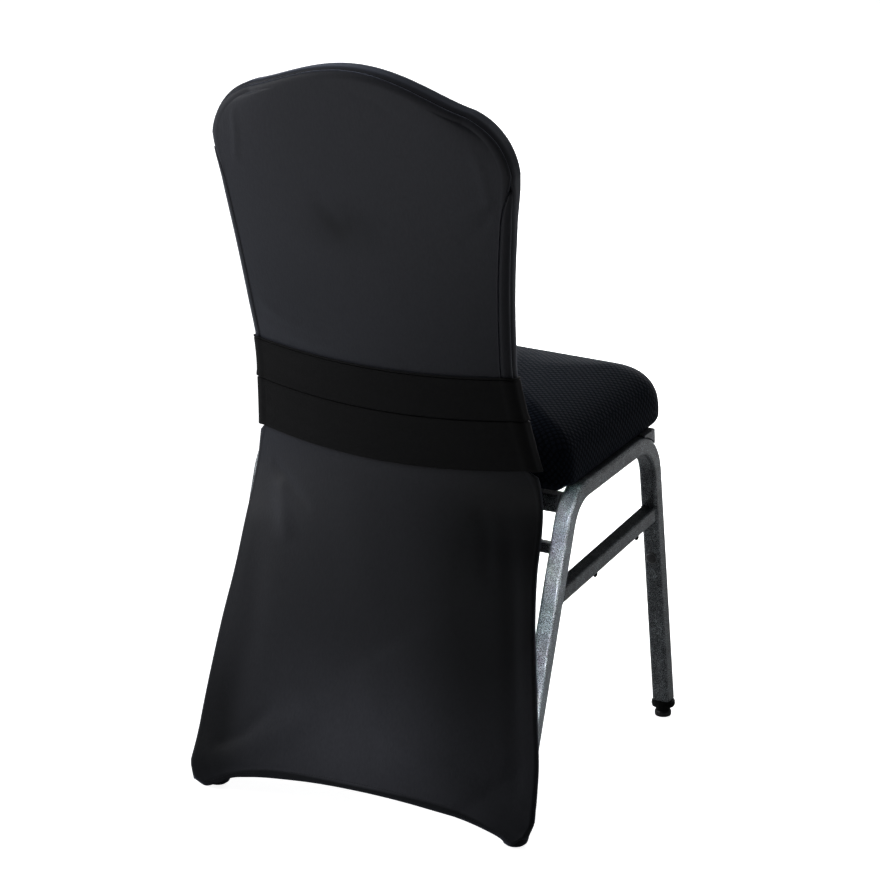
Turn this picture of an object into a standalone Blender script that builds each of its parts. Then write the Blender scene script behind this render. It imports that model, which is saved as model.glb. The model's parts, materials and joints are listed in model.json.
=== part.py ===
"""A stretch cover with foot pockets and a two-pleat sash, fitted over the back of a banquet chair.

Metres, +Z up, front towards -Y. Depths are measured backwards from the line of the rear feet, and the
last step moves every piece so that the origin is on the floor in the middle of the footprint.
"""

import math

import bmesh
import bpy
import numpy as np
from mathutils import Matrix

GAP = 0.0003
FOOTPRINT_SHIFT = 0.20596

# Cover
CLOTH = 0.002
SHARES = (0.0, 0.14, 0.28, 0.42, 0.55, 0.67, 0.78, 0.87, 0.94, 1.0)
CROWN_BEND = 2.93
CROWN_FLARE = 46.0
SHOULDER_X = 0.1112
SHOULDER_Z = 0.8343
SHOULDER_RADIUS = 0.0828
SHOULDER_ROLL = 0.0063
CROWN_FROM = 0.60
HEM_TO = 0.30
LEAN_LOW = (0.44, math.radians(15.0))
LEAN_TOP = (0.95, math.radians(2.0))
FRONT_FULLNESS = 0.010
HOOD_BOTTOM = 0.452
CURTAIN_TOP = 0.440
CURTAIN_TURN = 1.2
CORE_BOTTOM = 0.458
CORE_INSET = 0.0042
CORE_ROW = 0.463
CORE_SLOPE = 0.284
SEAM_GAP = 0.03

COVER_ROWS = (
    # height, half width, middle depth, edge depth, edge radius, body depth
    (0.000, 0.2235, 0.0190, 0.0150, 0.005, 0.0240),
    (0.012, 0.2270, 0.0181, 0.0145, 0.005, 0.0240),
    (0.022, 0.2295, 0.0172, 0.0132, 0.005, 0.0240),
    (0.035, 0.2284, 0.0155, 0.0095, 0.005, 0.0240),
    (0.060, 0.2265, 0.0112, -0.0010, 0.005, 0.0240),
    (0.090, 0.2244, 0.0062, -0.0100, 0.005, 0.0240),
    (0.150, 0.2170, -0.0037, -0.0212, 0.005, 0.0240),
    (0.210, 0.2088, -0.0132, -0.0333, 0.005, 0.0240),
    (0.270, 0.1998, -0.0227, -0.0480, 0.005, 0.0240),
    (0.330, 0.1940, -0.0321, -0.0645, 0.005, 0.0240),
    (0.370, 0.1916, -0.0385, -0.0805, 0.005, 0.0240),
    (0.400, 0.1890, -0.0432, -0.0875, 0.005, 0.0240),
    (0.425, 0.1862, -0.0465, -0.0860, 0.007, 0.0260),
    (0.448, 0.1820, -0.0465, -0.0788, 0.012, 0.0355),
    (0.470, 0.1787, -0.0407, -0.0712, 0.012, 0.0355),
    (0.510, 0.1735, -0.0294, -0.0578, 0.012, 0.0355),
    (0.545, 0.1700, -0.0195, -0.0466, 0.012, 0.0355),
    (0.575, 0.1683, -0.0113, -0.0357, 0.012, 0.0355),
    (0.620, 0.1708, 0.0002, -0.0222, 0.012, 0.0362),
    (0.700, 0.1773, 0.0181, -0.0008, 0.012, 0.0368),
    (0.780, 0.1865, 0.0334, 0.0194, 0.012, 0.0374),
    (0.842, 0.1931, 0.0446, 0.0352, 0.012, 0.0396),
    (0.900, 0.1806, 0.0536, 0.0456, 0.012, 0.0420),
    (0.955, 0.1600, 0.0618, 0.0535, 0.012, 0.0430),
)
HEM_ROWS = (
    # share of the half width, from the right to the left, and height of the hem
    (-1.00, 0.0180),
    (-0.94, 0.0075),
    (-0.87, 0.0148),
    (-0.78, 0.0212),
    (-0.67, 0.0268),
    (-0.42, 0.0330),
    (0.00, 0.0370),
    (0.28, 0.0354),
    (0.42, 0.0328),
    (0.67, 0.0254),
    (0.78, 0.0195),
    (0.87, 0.0085),
    (0.94, 0.0030),
    (1.00, 0.0080),
)
# A seam's place on the edge of the hood: 0 to 1 is the rear rounding, 1 to 2 the side,
# and 2 to 3 the front rounding.
SEAM_ROWS = (
    # height, back panel's edge, front panel's edge
    (0.452, 0.06, 1.35),
    (0.600, 0.05, 1.25),
    (0.700, 0.05, 1.18),
    (0.760, 0.06, 1.12),
    (0.785, 0.10, 1.06),
    (0.802, 0.20, 0.99),
    (0.815, 0.38, 0.92),
    (0.825, 0.56, 0.86),
    (0.833, 0.66, 0.72),
    (0.842, 0.77, 0.83),
    (0.863, 0.69, 0.75),
    (0.883, 0.67, 0.73),
    (0.905, 0.52, 0.58),
    (0.955, 0.64, 0.70),
)
PUCKER_HEIGHTS = (0.785, 0.802, 0.815, 0.825, 0.833, 0.842)
SHOULDER_ANGLES = (77.0, 62.5, 48.0, 33.5, 18.86)
CURTAIN_ROWS = 15
HOOD_ROWS = 14
GUSSET_TOP = 0.8255

# Sash
SASH_RISE = 0.228
SASH_EDGE_STEPS = 4
SASH_ROWS = (
    # height in the middle of the back, distance out from the hood
    (0.5697, 0.0007),
    (0.5697, 0.0027),
    (0.5400, 0.0030),
    (0.5125, 0.0036),
    (0.5105, 0.0027),
    (0.4750, 0.0030),
    (0.4580, 0.0031),
    (0.4406, 0.0032),
    (0.4406, 0.0007),
    (0.4580, 0.0007),
    (0.4750, 0.0007),
    (0.5115, 0.0007),
    (0.5400, 0.0007),
)

# Chair frame
FRAME_X = 0.2005
TUBE = 0.022
TUBE_RADIUS = 0.004
RAIL_Z = 0.400
REAR_LEAN = 0.3557
FRONT_FOOT_Y = -0.4608
FRONT_LEAN = 0.2014
FRONT_BEND_RADIUS = 0.062
REAR_BEND_RADIUS = 0.050
BEND_STEPS = 7
LEG_END_Z = 0.022
STRETCHER = 0.0185
STRETCHER_Z = 0.2887
STRETCHER_SLOPE = 0.040
STRETCHER_MIDDLE_Y = -0.255
STRETCHER_RADIUS = 0.002
CROSS_TUBE = 0.022
REAR_CROSS = (-0.145, 0.3885)
FRONT_CROSS = (-0.365, 0.3885)
LOW_BAR = 0.013
LOW_BAR_Z = 0.339
POST = 0.018
POST_X = 0.130
POST_TOP_Y = -0.0765

# Seat
SEAT_HALF_WIDTH = 0.206
SEAT_FRONT_Y = -0.452
SEAT_REAR_Y = -0.128
SEAT_FRONT_RADIUS = 0.062
SEAT_REAR_RADIUS = 0.022
SEAT_CORNER_STEPS = 6
SEAT_SIDE_STEPS = 6
BOARD_INSET = 0.0100
BOARD_Z = (0.4113, 0.4193)
SEAT_FRONT_DROP = 0.008
SEAT_REAR_DROP = 0.005
SEAT_ROWS = (
    # inset, height
    (0.0600, 0.4196),
    (0.0085, 0.4196),
    (0.0080, 0.4140),
    (0.0035, 0.4125),
    (0.0018, 0.4170),
    (0.0015, 0.4270),
    (0.0028, 0.4400),
    (0.0062, 0.4508),
    (0.0118, 0.4602),
    (0.0240, 0.4695),
    (0.0470, 0.4775),
    (0.0780, 0.4836),
    (0.1100, 0.4868),
    (0.1420, 0.4876),
)

# Feet, plugs and pockets
ROUND_STEPS = 16
CAP_PROFILE = (
    # radius, height
    (0.0000, 0.0072),
    (0.0092, 0.0072),
    (0.0092, 0.0122),
    (0.0145, 0.0134),
    (0.0150, 0.0160),
    (0.0146, 0.0200),
    (0.0120, 0.0217),
    (0.0000, 0.0217),
)
GLIDE_PROFILE = (
    (0.0000, 0.0000),
    (0.0100, 0.0000),
    (0.0105, 0.0008),
    (0.0105, 0.0056),
    (0.0095, 0.0069),
    (0.0000, 0.0069),
)
PLUG_PROFILE = (
    (0.0000, 0.0000),
    (0.0066, 0.0000),
    (0.0070, 0.0006),
    (0.0060, 0.0018),
    (0.0030, 0.0026),
    (0.0000, 0.0028),
)
PLUG_Z = 0.230
POCKET_ROWS = (
    # height, radius, forward stretch
    (0.0000, 0.0130, 1.00),
    (0.0020, 0.0148, 1.00),
    (0.0060, 0.0162, 1.00),
    (0.0140, 0.0172, 1.00),
    (0.0220, 0.0176, 1.00),
    (0.0400, 0.0178, 1.03),
    (0.0560, 0.0181, 1.06),
    (0.0670, 0.0186, 1.10),
)

MATERIALS = {
    # name: (colour, roughness, metallic)
    "cover_knit": ((0.021, 0.021, 0.025), 0.55, 0.0),
    "sash_knit": ((0.008, 0.008, 0.008), 0.75, 0.0),
    "backrest_lining": ((0.030, 0.030, 0.032), 0.90, 0.0),
    "seat_fabric": ((0.010, 0.013, 0.020), 0.85, 0.0),
    "seat_board": ((0.020, 0.019, 0.018), 0.80, 0.0),
    "frame_paint": ((0.030, 0.032, 0.035), 0.35, 0.3),
    "foot_rubber": ((0.012, 0.012, 0.012), 0.70, 0.0),
    "glide_plastic": ((0.015, 0.015, 0.016), 0.40, 0.0),
    "plug_plastic": ((0.012, 0.012, 0.013), 0.45, 0.0),
}


# ---------- scene, materials and mesh helpers ----------


def clear_scene():
    for obj in list(bpy.data.objects):
        bpy.data.objects.remove(obj)


def new_collection(name):
    made = bpy.data.collections.new(name)
    bpy.context.scene.collection.children.link(made)
    return made


def new_material(name, colour, roughness, metallic):
    made = bpy.data.materials.new(name)
    made.use_nodes = True
    shader = made.node_tree.nodes["Principled BSDF"]
    shader.inputs["Base Color"].default_value = (*colour, 1.0)
    shader.inputs["Roughness"].default_value = roughness
    shader.inputs["Metallic"].default_value = metallic
    made.diffuse_color = (*colour, 1.0)
    return made


def add_part(name, bm, material, smooth=True):
    """One named object from a bmesh."""
    mesh = bpy.data.meshes.new(name)
    bm.to_mesh(mesh)
    bm.free()
    mesh.materials.append(materials[material])
    for face in mesh.polygons:
        face.use_smooth = smooth
    obj = bpy.data.objects.new(name, mesh)
    parts.objects.link(obj)
    return obj


def thicken(obj, thickness):
    """Gives an open sheet its thickness, inwards from the face it is drawn on."""
    solidify = obj.modifiers.new("Cloth", "SOLIDIFY")
    solidify.thickness = thickness
    solidify.offset = -1.0
    solidify.use_even_offset = True
    solidify.use_quality_normals = True
    return obj


def loft(rings, wrap=True, close_ends=False, wrap_rows=False):
    """Quads between successive rings of as many points each."""
    bm = bmesh.new()
    rows = [[bm.verts.new(point) for point in ring] for ring in rings]
    count = len(rows[0])
    across = count if wrap else count - 1
    pairs = list(zip(rows, rows[1:]))
    if wrap_rows:
        pairs.append((rows[-1], rows[0]))
    for low, high in pairs:
        for i in range(across):
            j = (i + 1) % count
            bm.faces.new((low[i], low[j], high[j], high[i]))
    if close_ends:
        bm.faces.new(list(reversed(rows[0])))
        bm.faces.new(rows[-1])
    return bm


def face_outwards(bm):
    bmesh.ops.recalc_face_normals(bm, faces=bm.faces)
    return bm


def face_along(bm, towards):
    """Turns an open sheet so that its faces look along a direction on the whole."""
    bmesh.ops.recalc_face_normals(bm, faces=bm.faces)
    bm.normal_update()
    facing = sum(face.calc_area() * sum(n * t for n, t in zip(face.normal, towards)) for face in bm.faces)
    if facing < 0:
        bmesh.ops.reverse_faces(bm, faces=bm.faces)
    return bm


def column(table, index):
    """A smooth function of height through one column of a table."""
    at = np.array([row[0] for row in table])
    values = np.array([row[index] for row in table])
    slopes = np.gradient(values, at)

    def value(height):
        i = int(np.clip(np.searchsorted(at, height) - 1, 0, len(at) - 2))
        step = at[i + 1] - at[i]
        t = float(np.clip((height - at[i]) / step, 0.0, 1.0))
        rise = t * t * (3 - 2 * t)
        start = values[i] * (1 - rise) + values[i + 1] * rise
        return start + step * (slopes[i] * t * (1 - t) ** 2 - slopes[i + 1] * t * t * (1 - t))

    return value


def straight(table, index):
    """A function of height in straight steps through one column of a table."""
    at = [row[0] for row in table]
    values = [row[index] for row in table]
    return lambda height: float(np.interp(height, at, values))


half_width = column(COVER_ROWS, 1)
middle_depth = column(COVER_ROWS, 2)
edge_depth = column(COVER_ROWS, 3)
edge_radius = straight(COVER_ROWS, 4)
body_depth = straight(COVER_ROWS, 5)
hem_height = column(HEM_ROWS, 1)
back_seam = straight(SEAM_ROWS, 1)
front_seam = straight(SEAM_ROWS, 2)


# ---------- shape of the covered back ----------


def crown(x):
    """How far the top edge has dropped at a distance from the middle."""
    return -CROWN_BEND * x**2 + CROWN_FLARE * x**4


def crown_normal(x):
    slope = -2 * CROWN_BEND * x + 4 * CROWN_FLARE * x**3
    length = math.hypot(slope, 1.0)
    return -slope / length, 1.0 / length


def back_depth(x, z):
    bow = 2 * (middle_depth(z) - edge_depth(z)) / half_width(z) ** 2
    return middle_depth(z) - bow * x * x / 2


def forwards(z):
    """The direction through the body from its back face to its front face."""
    lean = float(np.interp(z, (LEAN_LOW[0], LEAN_TOP[0]), (LEAN_LOW[1], LEAN_TOP[1])))
    return np.array((0.0, -math.cos(lean), -math.sin(lean)))


def all_shares():
    """Shares of the half width from one side to the other, closer together near the sides."""
    return [-share for share in reversed(SHARES[1:])] + list(SHARES)


class Edge:
    """A point of the outline, at one side, with what is needed to round the body there."""

    def __init__(self, x, z, nx, nz, radius=None):
        self.radius = edge_radius(z) if radius is None else radius
        self.z = z
        self.normal = np.array((nx, 0.0, nz))
        self.inner_x = x - self.radius * nx
        self.inner_z = z - self.radius * nz


def side_edges(bottom):
    """Edges up one side, from a height to the corner of the crown."""
    heights = list(np.linspace(0.0, CURTAIN_TOP, CURTAIN_ROWS))
    heights += list(np.linspace(HOOD_BOTTOM, 0.770, HOOD_ROWS)) + list(PUCKER_HEIGHTS)
    edges = [Edge(half_width(z), z, 1.0, 0.0) for z in heights if z >= bottom - 1e-6]
    for degrees in SHOULDER_ANGLES:
        nx = math.sin(math.radians(degrees))
        nz = math.cos(math.radians(degrees))
        edges.append(Edge(SHOULDER_X + SHOULDER_RADIUS * nx, SHOULDER_Z + SHOULDER_RADIUS * nz, nx, nz))
    return edges


def hem_lift(share, height):
    """The arch of the hem, fading out up the curtain."""
    fade = max(0.0, 1.0 - height / HEM_TO) ** 2
    return hem_height(share) * fade


def crown_share(edges, edge):
    top = edges[-1].inner_z
    return float(np.clip((edge.inner_z - CROWN_FROM) / (top - CROWN_FROM), 0.0, 1.0)) ** 2


def flat_point(edges, edge, share, hemmed):
    """A point of the back face, at a share of the half width along the row of an edge."""
    corner = edges[-1].inner_x
    crowned = crown_share(edges, edge)
    x = share * edge.inner_x
    z = edge.inner_z + crowned * (crown(share * corner) - crown(corner))
    if hemmed:
        z += hem_lift(share, edge.z)
    y = back_depth(x, z) - SHOULDER_ROLL * crowned**2 * abs(share) ** 6
    return np.array((x, y, z))


def fullness(share, height):
    """The padding of the front face, none at its edges."""
    upright = float(np.clip((height - CORE_BOTTOM) / (0.93 - CORE_BOTTOM), 0.0, 1.0))
    return FRONT_FULLNESS * (1 - share**2) ** 2 * math.sin(math.pi * upright) ** 2


def front_point(edges, edge, share, inset):
    point = flat_point(edges, edge, share, False)
    depth = body_depth(edge.z) - inset + fullness(share, point[2])
    return point + depth * forwards(point[2])


def edge_point(base, normal, radius, depth, place, inset):
    """A point on the rounded edge of the body, inset from its outer surface."""
    left = radius - inset
    if place <= 1:
        angle = place * math.pi / 2
        out, deep = left * math.sin(angle), radius - left * math.cos(angle)
    elif place <= 2:
        out, deep = left, radius + (place - 1) * (depth - 2 * radius)
    else:
        angle = (place - 2) * math.pi / 2
        out, deep = left * math.cos(angle), depth - radius + left * math.sin(angle)
    return base + out * normal + deep * forwards(base[2])


def boundary(edges, hemmed):
    """The open run of edge places round the body: up one side, across the crown and down the other."""
    shares = all_shares()
    run = []
    for edge in edges:
        run.append((edge, -1.0))
    run += [(None, share) for share in shares[1:-1]]
    for edge in reversed(edges):
        run.append((edge, 1.0))
    placed = []
    for edge, share in run:
        owner = edges[-1] if edge is None else edge
        base = flat_point(edges, owner, share, hemmed)
        if edge is None:
            nx, nz = crown_normal(base[0])
            normal = np.array((nx, 0.0, nz))
        else:
            normal = edge.normal * np.array((share, 1.0, 1.0))
        placed.append((owner, edge is None, base, normal))
    return placed


def seam_places(placed, seam):
    """Where a seam lies at each place of the boundary."""
    out = []
    for owner, on_crown, base, normal in placed:
        if owner.z <= CURTAIN_TOP + 1e-6:
            out.append(CURTAIN_TURN)
        elif on_crown:
            top = SEAM_ROWS[-1][0]
            share = abs(base[0]) / owner.inner_x
            out.append(seam(top) * (1 - share) + seam(owner.z) * share)
        else:
            out.append(seam(owner.z))
    return out


def rear_places(end):
    """Places from the back face round to a seam."""
    return [end / 3, end * 2 / 3, end] if end <= 1 else [0.5, 1.0, end]


def front_places(end):
    """Places from the front face back to a seam, in short steps on the roundings."""
    if end < 1:
        return [2.7, 2.35, 2.0, 1.0, (1 + end) / 2, end]
    return [2.7, 2.35, 2.0, 2 - (2 - end) / 3, 2 - (2 - end) * 2 / 3, end]


def sheet_with_edge(rows, placed, places):
    """A grid of points with strips added all along its two sides and its top."""
    bm = bmesh.new()
    grid = [[bm.verts.new(point) for point in row] for row in rows]
    for low, high in zip(grid, grid[1:]):
        for i in range(len(low) - 1):
            bm.faces.new((low[i], low[i + 1], high[i + 1], high[i]))
    rim = [row[0] for row in grid[:-1]] + grid[-1] + [row[-1] for row in reversed(grid[:-1])]
    for step in range(len(places[0])):
        ring = []
        for (owner, _, base, normal), run in zip(placed, places):
            at = run[step]
            point = edge_point(base, normal, owner.radius, body_depth(owner.z), at, 0.0)
            ring.append(bm.verts.new(point))
        for i in range(len(rim) - 1):
            bm.faces.new((rim[i], rim[i + 1], ring[i + 1], ring[i]))
        rim = ring
    return bm


# ---------- the cover ----------


def build_back_panel():
    edges = side_edges(0.0)
    shares = all_shares()
    rows = [[flat_point(edges, edge, share, True) for share in shares] for edge in edges]
    placed = boundary(edges, True)
    places = [rear_places(end) for end in seam_places(placed, back_seam)]
    bm = sheet_with_edge(rows, placed, places)
    return thicken(add_part("back_panel", face_along(bm, (0, 1, 0)), "cover_knit"), CLOTH)


def build_front_panel():
    edges = side_edges(HOOD_BOTTOM)
    shares = all_shares()
    rows = [[front_point(edges, edge, share, 0.0) for share in shares] for edge in edges]
    placed = boundary(edges, False)
    places = [front_places(end) for end in seam_places(placed, front_seam)]
    bm = sheet_with_edge(rows, placed, places)
    return thicken(add_part("front_panel", face_along(bm, (0, -1, 0)), "cover_knit"), CLOTH)


def build_gusset(name, side):
    edges = side_edges(HOOD_BOTTOM)
    rings = []
    for edge in edges:
        if edge.z > GUSSET_TOP:
            break
        base = flat_point(edges, edge, side, False)
        normal = edge.normal * np.array((side, 1.0, 1.0))
        first = back_seam(edge.z) + SEAM_GAP
        last = front_seam(edge.z) - SEAM_GAP
        depth = body_depth(edge.z)
        rings.append(
            [edge_point(base, normal, edge.radius, depth, at, 0.0) for at in np.linspace(first, last, 5)]
        )
    bm = loft(rings, wrap=False)
    return thicken(add_part(name, face_along(bm, (side, 0.3, 0)), "cover_knit"), CLOTH)


def sash_loop(height, out):
    """The outline of the hood at a height that rises towards the sides, this far out from it."""
    side_z = height + SASH_RISE * half_width(height) ** 2
    edge = Edge(half_width(side_z), side_z, 1.0, 0.0)
    depth = body_depth(side_z)
    shares = all_shares()
    back = []
    for share in shares:
        x = share * edge.inner_x
        z = height + SASH_RISE * x * x
        back.append(np.array((x, back_depth(x, z), z)) - out * forwards(z))
    turns = np.linspace(0.0, 3.0, 3 * SASH_EDGE_STEPS + 1)[1:-1]
    ends = {}
    for side in (-1.0, 1.0):
        base = back[0] + out * forwards(back[0][2]) if side < 0 else back[-1] + out * forwards(back[-1][2])
        normal = np.array((side, 0.0, 0.0))
        ends[side] = [edge_point(base, normal, edge.radius, depth, at, -out) for at in turns]
    front = []
    for share in shares:
        x = share * edge.inner_x
        point = np.array((x, back_depth(x, side_z), side_z))
        front.append(point + (depth + fullness(share, side_z) + out) * forwards(side_z))
    return back + ends[1.0] + list(reversed(front)) + list(reversed(ends[-1.0]))


def build_sash():
    rings = [sash_loop(height, out) for height, out in SASH_ROWS]
    bm = face_outwards(loft(rings, wrap=True, wrap_rows=True))
    return add_part("sash", bm, "sash_knit")


def leg_depth(z):
    """The middle of a rear leg, upright below its cut end."""
    return -REAR_LEAN * max(z, LEG_END_Z)


def build_pocket(name, side):
    """A cup of cloth round a rear foot, leaning with the leg."""
    outer = []
    inner = []
    for z, radius, stretch in POCKET_ROWS:
        for ring, less, rise in ((outer, 0.0, 0.0), (inner, CLOTH, CLOTH)):
            if rise and z > POCKET_ROWS[0][0] and z < CLOTH + 0.002:
                continue
            at = max(z, rise)
            size = radius - less
            points = []
            for i in range(ROUND_STEPS):
                angle = 2 * math.pi * i / ROUND_STEPS
                ahead = size * math.sin(angle)
                ahead *= stretch if ahead < 0 else 1.0
                points.append((side * FRAME_X + size * math.cos(angle), leg_depth(at) + ahead, at))
            ring.append(points)
    bm = face_outwards(loft(outer + list(reversed(inner)), wrap=True, close_ends=True))
    return add_part(name, bm, "cover_knit")


# ---------- the chair ----------


def build_core():
    """The padded back inside the cover: back face, rounded edges, front face and a flat underside."""
    edges = side_edges(CORE_BOTTOM)
    edges = [Edge(half_width(CORE_ROW), CORE_ROW, 1.0, 0.0)] + edges
    shares = all_shares()
    places = (0.0, 0.33, 0.67, 1.0, 2.0, 2.33, 2.67, 3.0)
    bm = bmesh.new()

    def set_in(point):
        return point + CORE_INSET * forwards(point[2])

    back = [[bm.verts.new(set_in(flat_point(edges, e, s, False))) for s in shares] for e in edges]
    front = [[bm.verts.new(front_point(edges, e, s, CORE_INSET)) for s in shares] for e in edges]
    for grid in (back, front):
        for low, high in zip(grid, grid[1:]):
            for i in range(len(shares) - 1):
                bm.faces.new((low[i], low[i + 1], high[i + 1], high[i]))

    def rim_of(grid):
        return [row[0] for row in grid[:-1]] + grid[-1] + [row[-1] for row in reversed(grid[:-1])]

    rims = [rim_of(back)]
    for at in places[1:-1]:
        ring = []
        for owner, _, base, normal in boundary(edges, False):
            depth = body_depth(owner.z)
            ring.append(bm.verts.new(edge_point(base, normal, owner.radius, depth, at, CORE_INSET)))
        rims.append(ring)
    rims.append(rim_of(front))
    for rear, fore in zip(rims, rims[1:]):
        for i in range(len(rear) - 1):
            bm.faces.new((rear[i], rear[i + 1], fore[i + 1], fore[i]))
    start = [rim[0] for rim in rims]
    end = [rim[-1] for rim in rims]
    bm.faces.new(back[0][::-1] + start[1:-1] + front[0] + end[1:-1][::-1])
    lowest = back[0] + front[0] + [rim[0] for rim in rims[1:-1]] + [rim[-1] for rim in rims[1:-1]]
    for vert in lowest:
        vert.co.y += CORE_SLOPE * (CORE_BOTTOM - vert.co.z)
        vert.co.z = CORE_BOTTOM
    bmesh.ops.triangulate(bm, faces=[face for face in bm.faces if len(face.verts) > 4])
    return add_part("backrest_core", face_outwards(bm), "backrest_lining")


def rounded_square(side, radius, steps=3):
    """The outline of a square tube with rounded corners."""
    half = side / 2 - radius
    points = []
    for quarter in range(4):
        cx = half * (1 if quarter in (0, 3) else -1)
        cy = half * (1 if quarter in (0, 1) else -1)
        for step in range(steps + 1):
            angle = math.pi / 2 * (quarter + step / steps)
            points.append((cx + radius * math.cos(angle), cy + radius * math.sin(angle)))
    return points


def bend(corner, before, after, radius, steps):
    """Points of a round bend at a corner of a path in the depth and height plane."""
    into = np.array(corner) - np.array(before)
    into /= np.linalg.norm(into)
    out = np.array(after) - np.array(corner)
    out /= np.linalg.norm(out)
    turn = math.acos(float(np.clip(into @ out, -1, 1)))
    back = radius * math.tan(turn / 2)
    start = np.array(corner) - back * into
    inward = out - (out @ into) * into
    inward /= np.linalg.norm(inward)
    centre = start + radius * inward
    angles = np.linspace(0.0, turn, steps + 1)
    return [centre - radius * inward * math.cos(a) + radius * into * math.sin(a) for a in angles]


def side_frame_path():
    """Front foot, front bend, rail, rear bend and rear foot, with the feet run on past their cuts."""
    below = -0.010
    front_foot = (FRONT_FOOT_Y + FRONT_LEAN * below, below)
    front_corner = (FRONT_FOOT_Y + FRONT_LEAN * RAIL_Z, RAIL_Z)
    rear_corner = (-REAR_LEAN * RAIL_Z, RAIL_Z)
    rear_foot = (-REAR_LEAN * below, below)
    path = [np.array(front_foot)]
    path += bend(front_corner, front_foot, rear_corner, FRONT_BEND_RADIUS, BEND_STEPS)
    path += bend(rear_corner, front_corner, rear_foot, REAR_BEND_RADIUS, BEND_STEPS)
    path.append(np.array(rear_foot))
    return path


def closed_spline(curve, points):
    spline = curve.splines.new("POLY")
    spline.points.add(len(points) - 1)
    for point, place in zip(spline.points, points):
        point.co = (*place, 1.0)
    return spline


def build_side_frame(name, side):
    """A bent tube, swept as a curve, then cut level at its two feet."""
    profile = bpy.data.curves.new(name + "_profile", "CURVE")
    outline = closed_spline(profile, [(x, y, 0.0) for x, y in rounded_square(TUBE, TUBE_RADIUS)])
    outline.use_cyclic_u = True
    guide = bpy.data.objects.new(name + "_profile", profile)
    guide.hide_render = True
    guide.display_type = "WIRE"
    helpers.objects.link(guide)
    path = bpy.data.curves.new(name + "_path", "CURVE")
    path.dimensions = "3D"
    path.bevel_mode = "OBJECT"
    path.bevel_object = guide
    path.use_fill_caps = True
    closed_spline(path, [(side * FRAME_X, y, z) for y, z in side_frame_path()])
    swept = bpy.data.objects.new(name + "_path", path)
    swept.hide_render = True
    swept.display_type = "WIRE"
    helpers.objects.link(swept)
    bpy.context.view_layer.update()
    graph = bpy.context.evaluated_depsgraph_get()
    mesh = bpy.data.meshes.new_from_object(swept.evaluated_get(graph))
    bm = bmesh.new()
    bm.from_mesh(mesh)
    bpy.data.meshes.remove(mesh)
    bmesh.ops.remove_doubles(bm, verts=bm.verts, dist=0.00005)
    rear_end = LEG_END_Z + CLOTH + GAP
    middle = (FRONT_FOOT_Y + 0.0) / 2
    for cut, keep_front in ((LEG_END_Z, True), (rear_end, False)):
        near = [v for v in bm.verts if (v.co.y < middle) == keep_front and v.co.z < 0.2]
        faces = {face for v in near for face in v.link_faces}
        edges = {edge for v in near for edge in v.link_edges}
        bmesh.ops.bisect_plane(
            bm,
            geom=list(near) + list(edges) + list(faces),
            plane_co=(0, 0, cut),
            plane_no=(0, 0, -1),
            clear_outer=True,
        )
    bmesh.ops.holes_fill(bm, edges=[edge for edge in bm.edges if edge.is_boundary], sides=0)
    return add_part(name, face_outwards(bm), "frame_paint")


def bar(name, axis, ends, centre, side, radius, material, shear=0.0):
    """A straight square tube along x or z, its long edges rounded, with a lean in depth."""
    bm = bmesh.new()
    bmesh.ops.create_cube(bm, size=1.0)
    length = ends[1] - ends[0]
    size = (length, side, side) if axis == "x" else (side, side, length)
    bmesh.ops.scale(bm, vec=size, verts=bm.verts)
    along = 0 if axis == "x" else 2
    long_edges = [e for e in bm.edges if abs(e.verts[0].co[along] - e.verts[1].co[along]) > length / 2]
    bmesh.ops.bevel(bm, geom=long_edges, offset=radius, segments=2, profile=0.5, affect="EDGES")
    middle = (ends[0] + ends[1]) / 2
    place = (middle, *centre) if axis == "x" else (*centre, middle)
    if shear:
        for vert in bm.verts:
            vert.co.y += shear * vert.co.z
    bmesh.ops.translate(bm, vec=place, verts=bm.verts)
    return add_part(name, bm, material, smooth=False)


def build_stretcher(name, side):
    """A low tube between the legs of one side, its ends cut to the slope of each leg."""
    bm = bmesh.new()
    bmesh.ops.create_cube(bm, size=1.0)
    bmesh.ops.scale(bm, vec=(STRETCHER, 1.0, STRETCHER), verts=bm.verts)
    long_edges = [e for e in bm.edges if abs(e.verts[0].co.y - e.verts[1].co.y) > 0.5]
    bmesh.ops.bevel(bm, geom=long_edges, offset=STRETCHER_RADIUS, segments=2, profile=0.5, affect="EDGES")
    for vert in bm.verts:
        at_rear = vert.co.y > 0
        z = vert.co.z + STRETCHER_Z
        for _ in range(4):
            rear = -REAR_LEAN * z - TUBE / 2 * math.hypot(1.0, REAR_LEAN) - GAP
            front = FRONT_FOOT_Y + FRONT_LEAN * z + TUBE / 2 * math.hypot(1.0, FRONT_LEAN) + GAP
            vert.co.y = rear if at_rear else front
            z = vert.co.z + STRETCHER_Z - STRETCHER_SLOPE * (vert.co.y - STRETCHER_MIDDLE_Y)
        vert.co.z = z
        vert.co.x += side * FRAME_X
    return add_part(name, bm, "frame_paint", smooth=False)


def turned(name, profile, matrix, material):
    """A round piece: a profile of radius and height turned about its axis, then placed."""
    bm = bmesh.new()
    verts = [bm.verts.new((radius, 0.0, height)) for radius, height in profile]
    edges = [bm.edges.new(pair) for pair in zip(verts, verts[1:])]
    bmesh.ops.spin(
        bm,
        geom=verts + edges,
        cent=(0, 0, 0),
        axis=(0, 0, 1),
        angle=2 * math.pi,
        steps=ROUND_STEPS,
        use_merge=True,
    )
    bmesh.ops.remove_doubles(bm, verts=bm.verts, dist=0.00005)
    bmesh.ops.transform(bm, matrix=matrix, verts=bm.verts)
    return add_part(name, face_outwards(bm), material)


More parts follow.
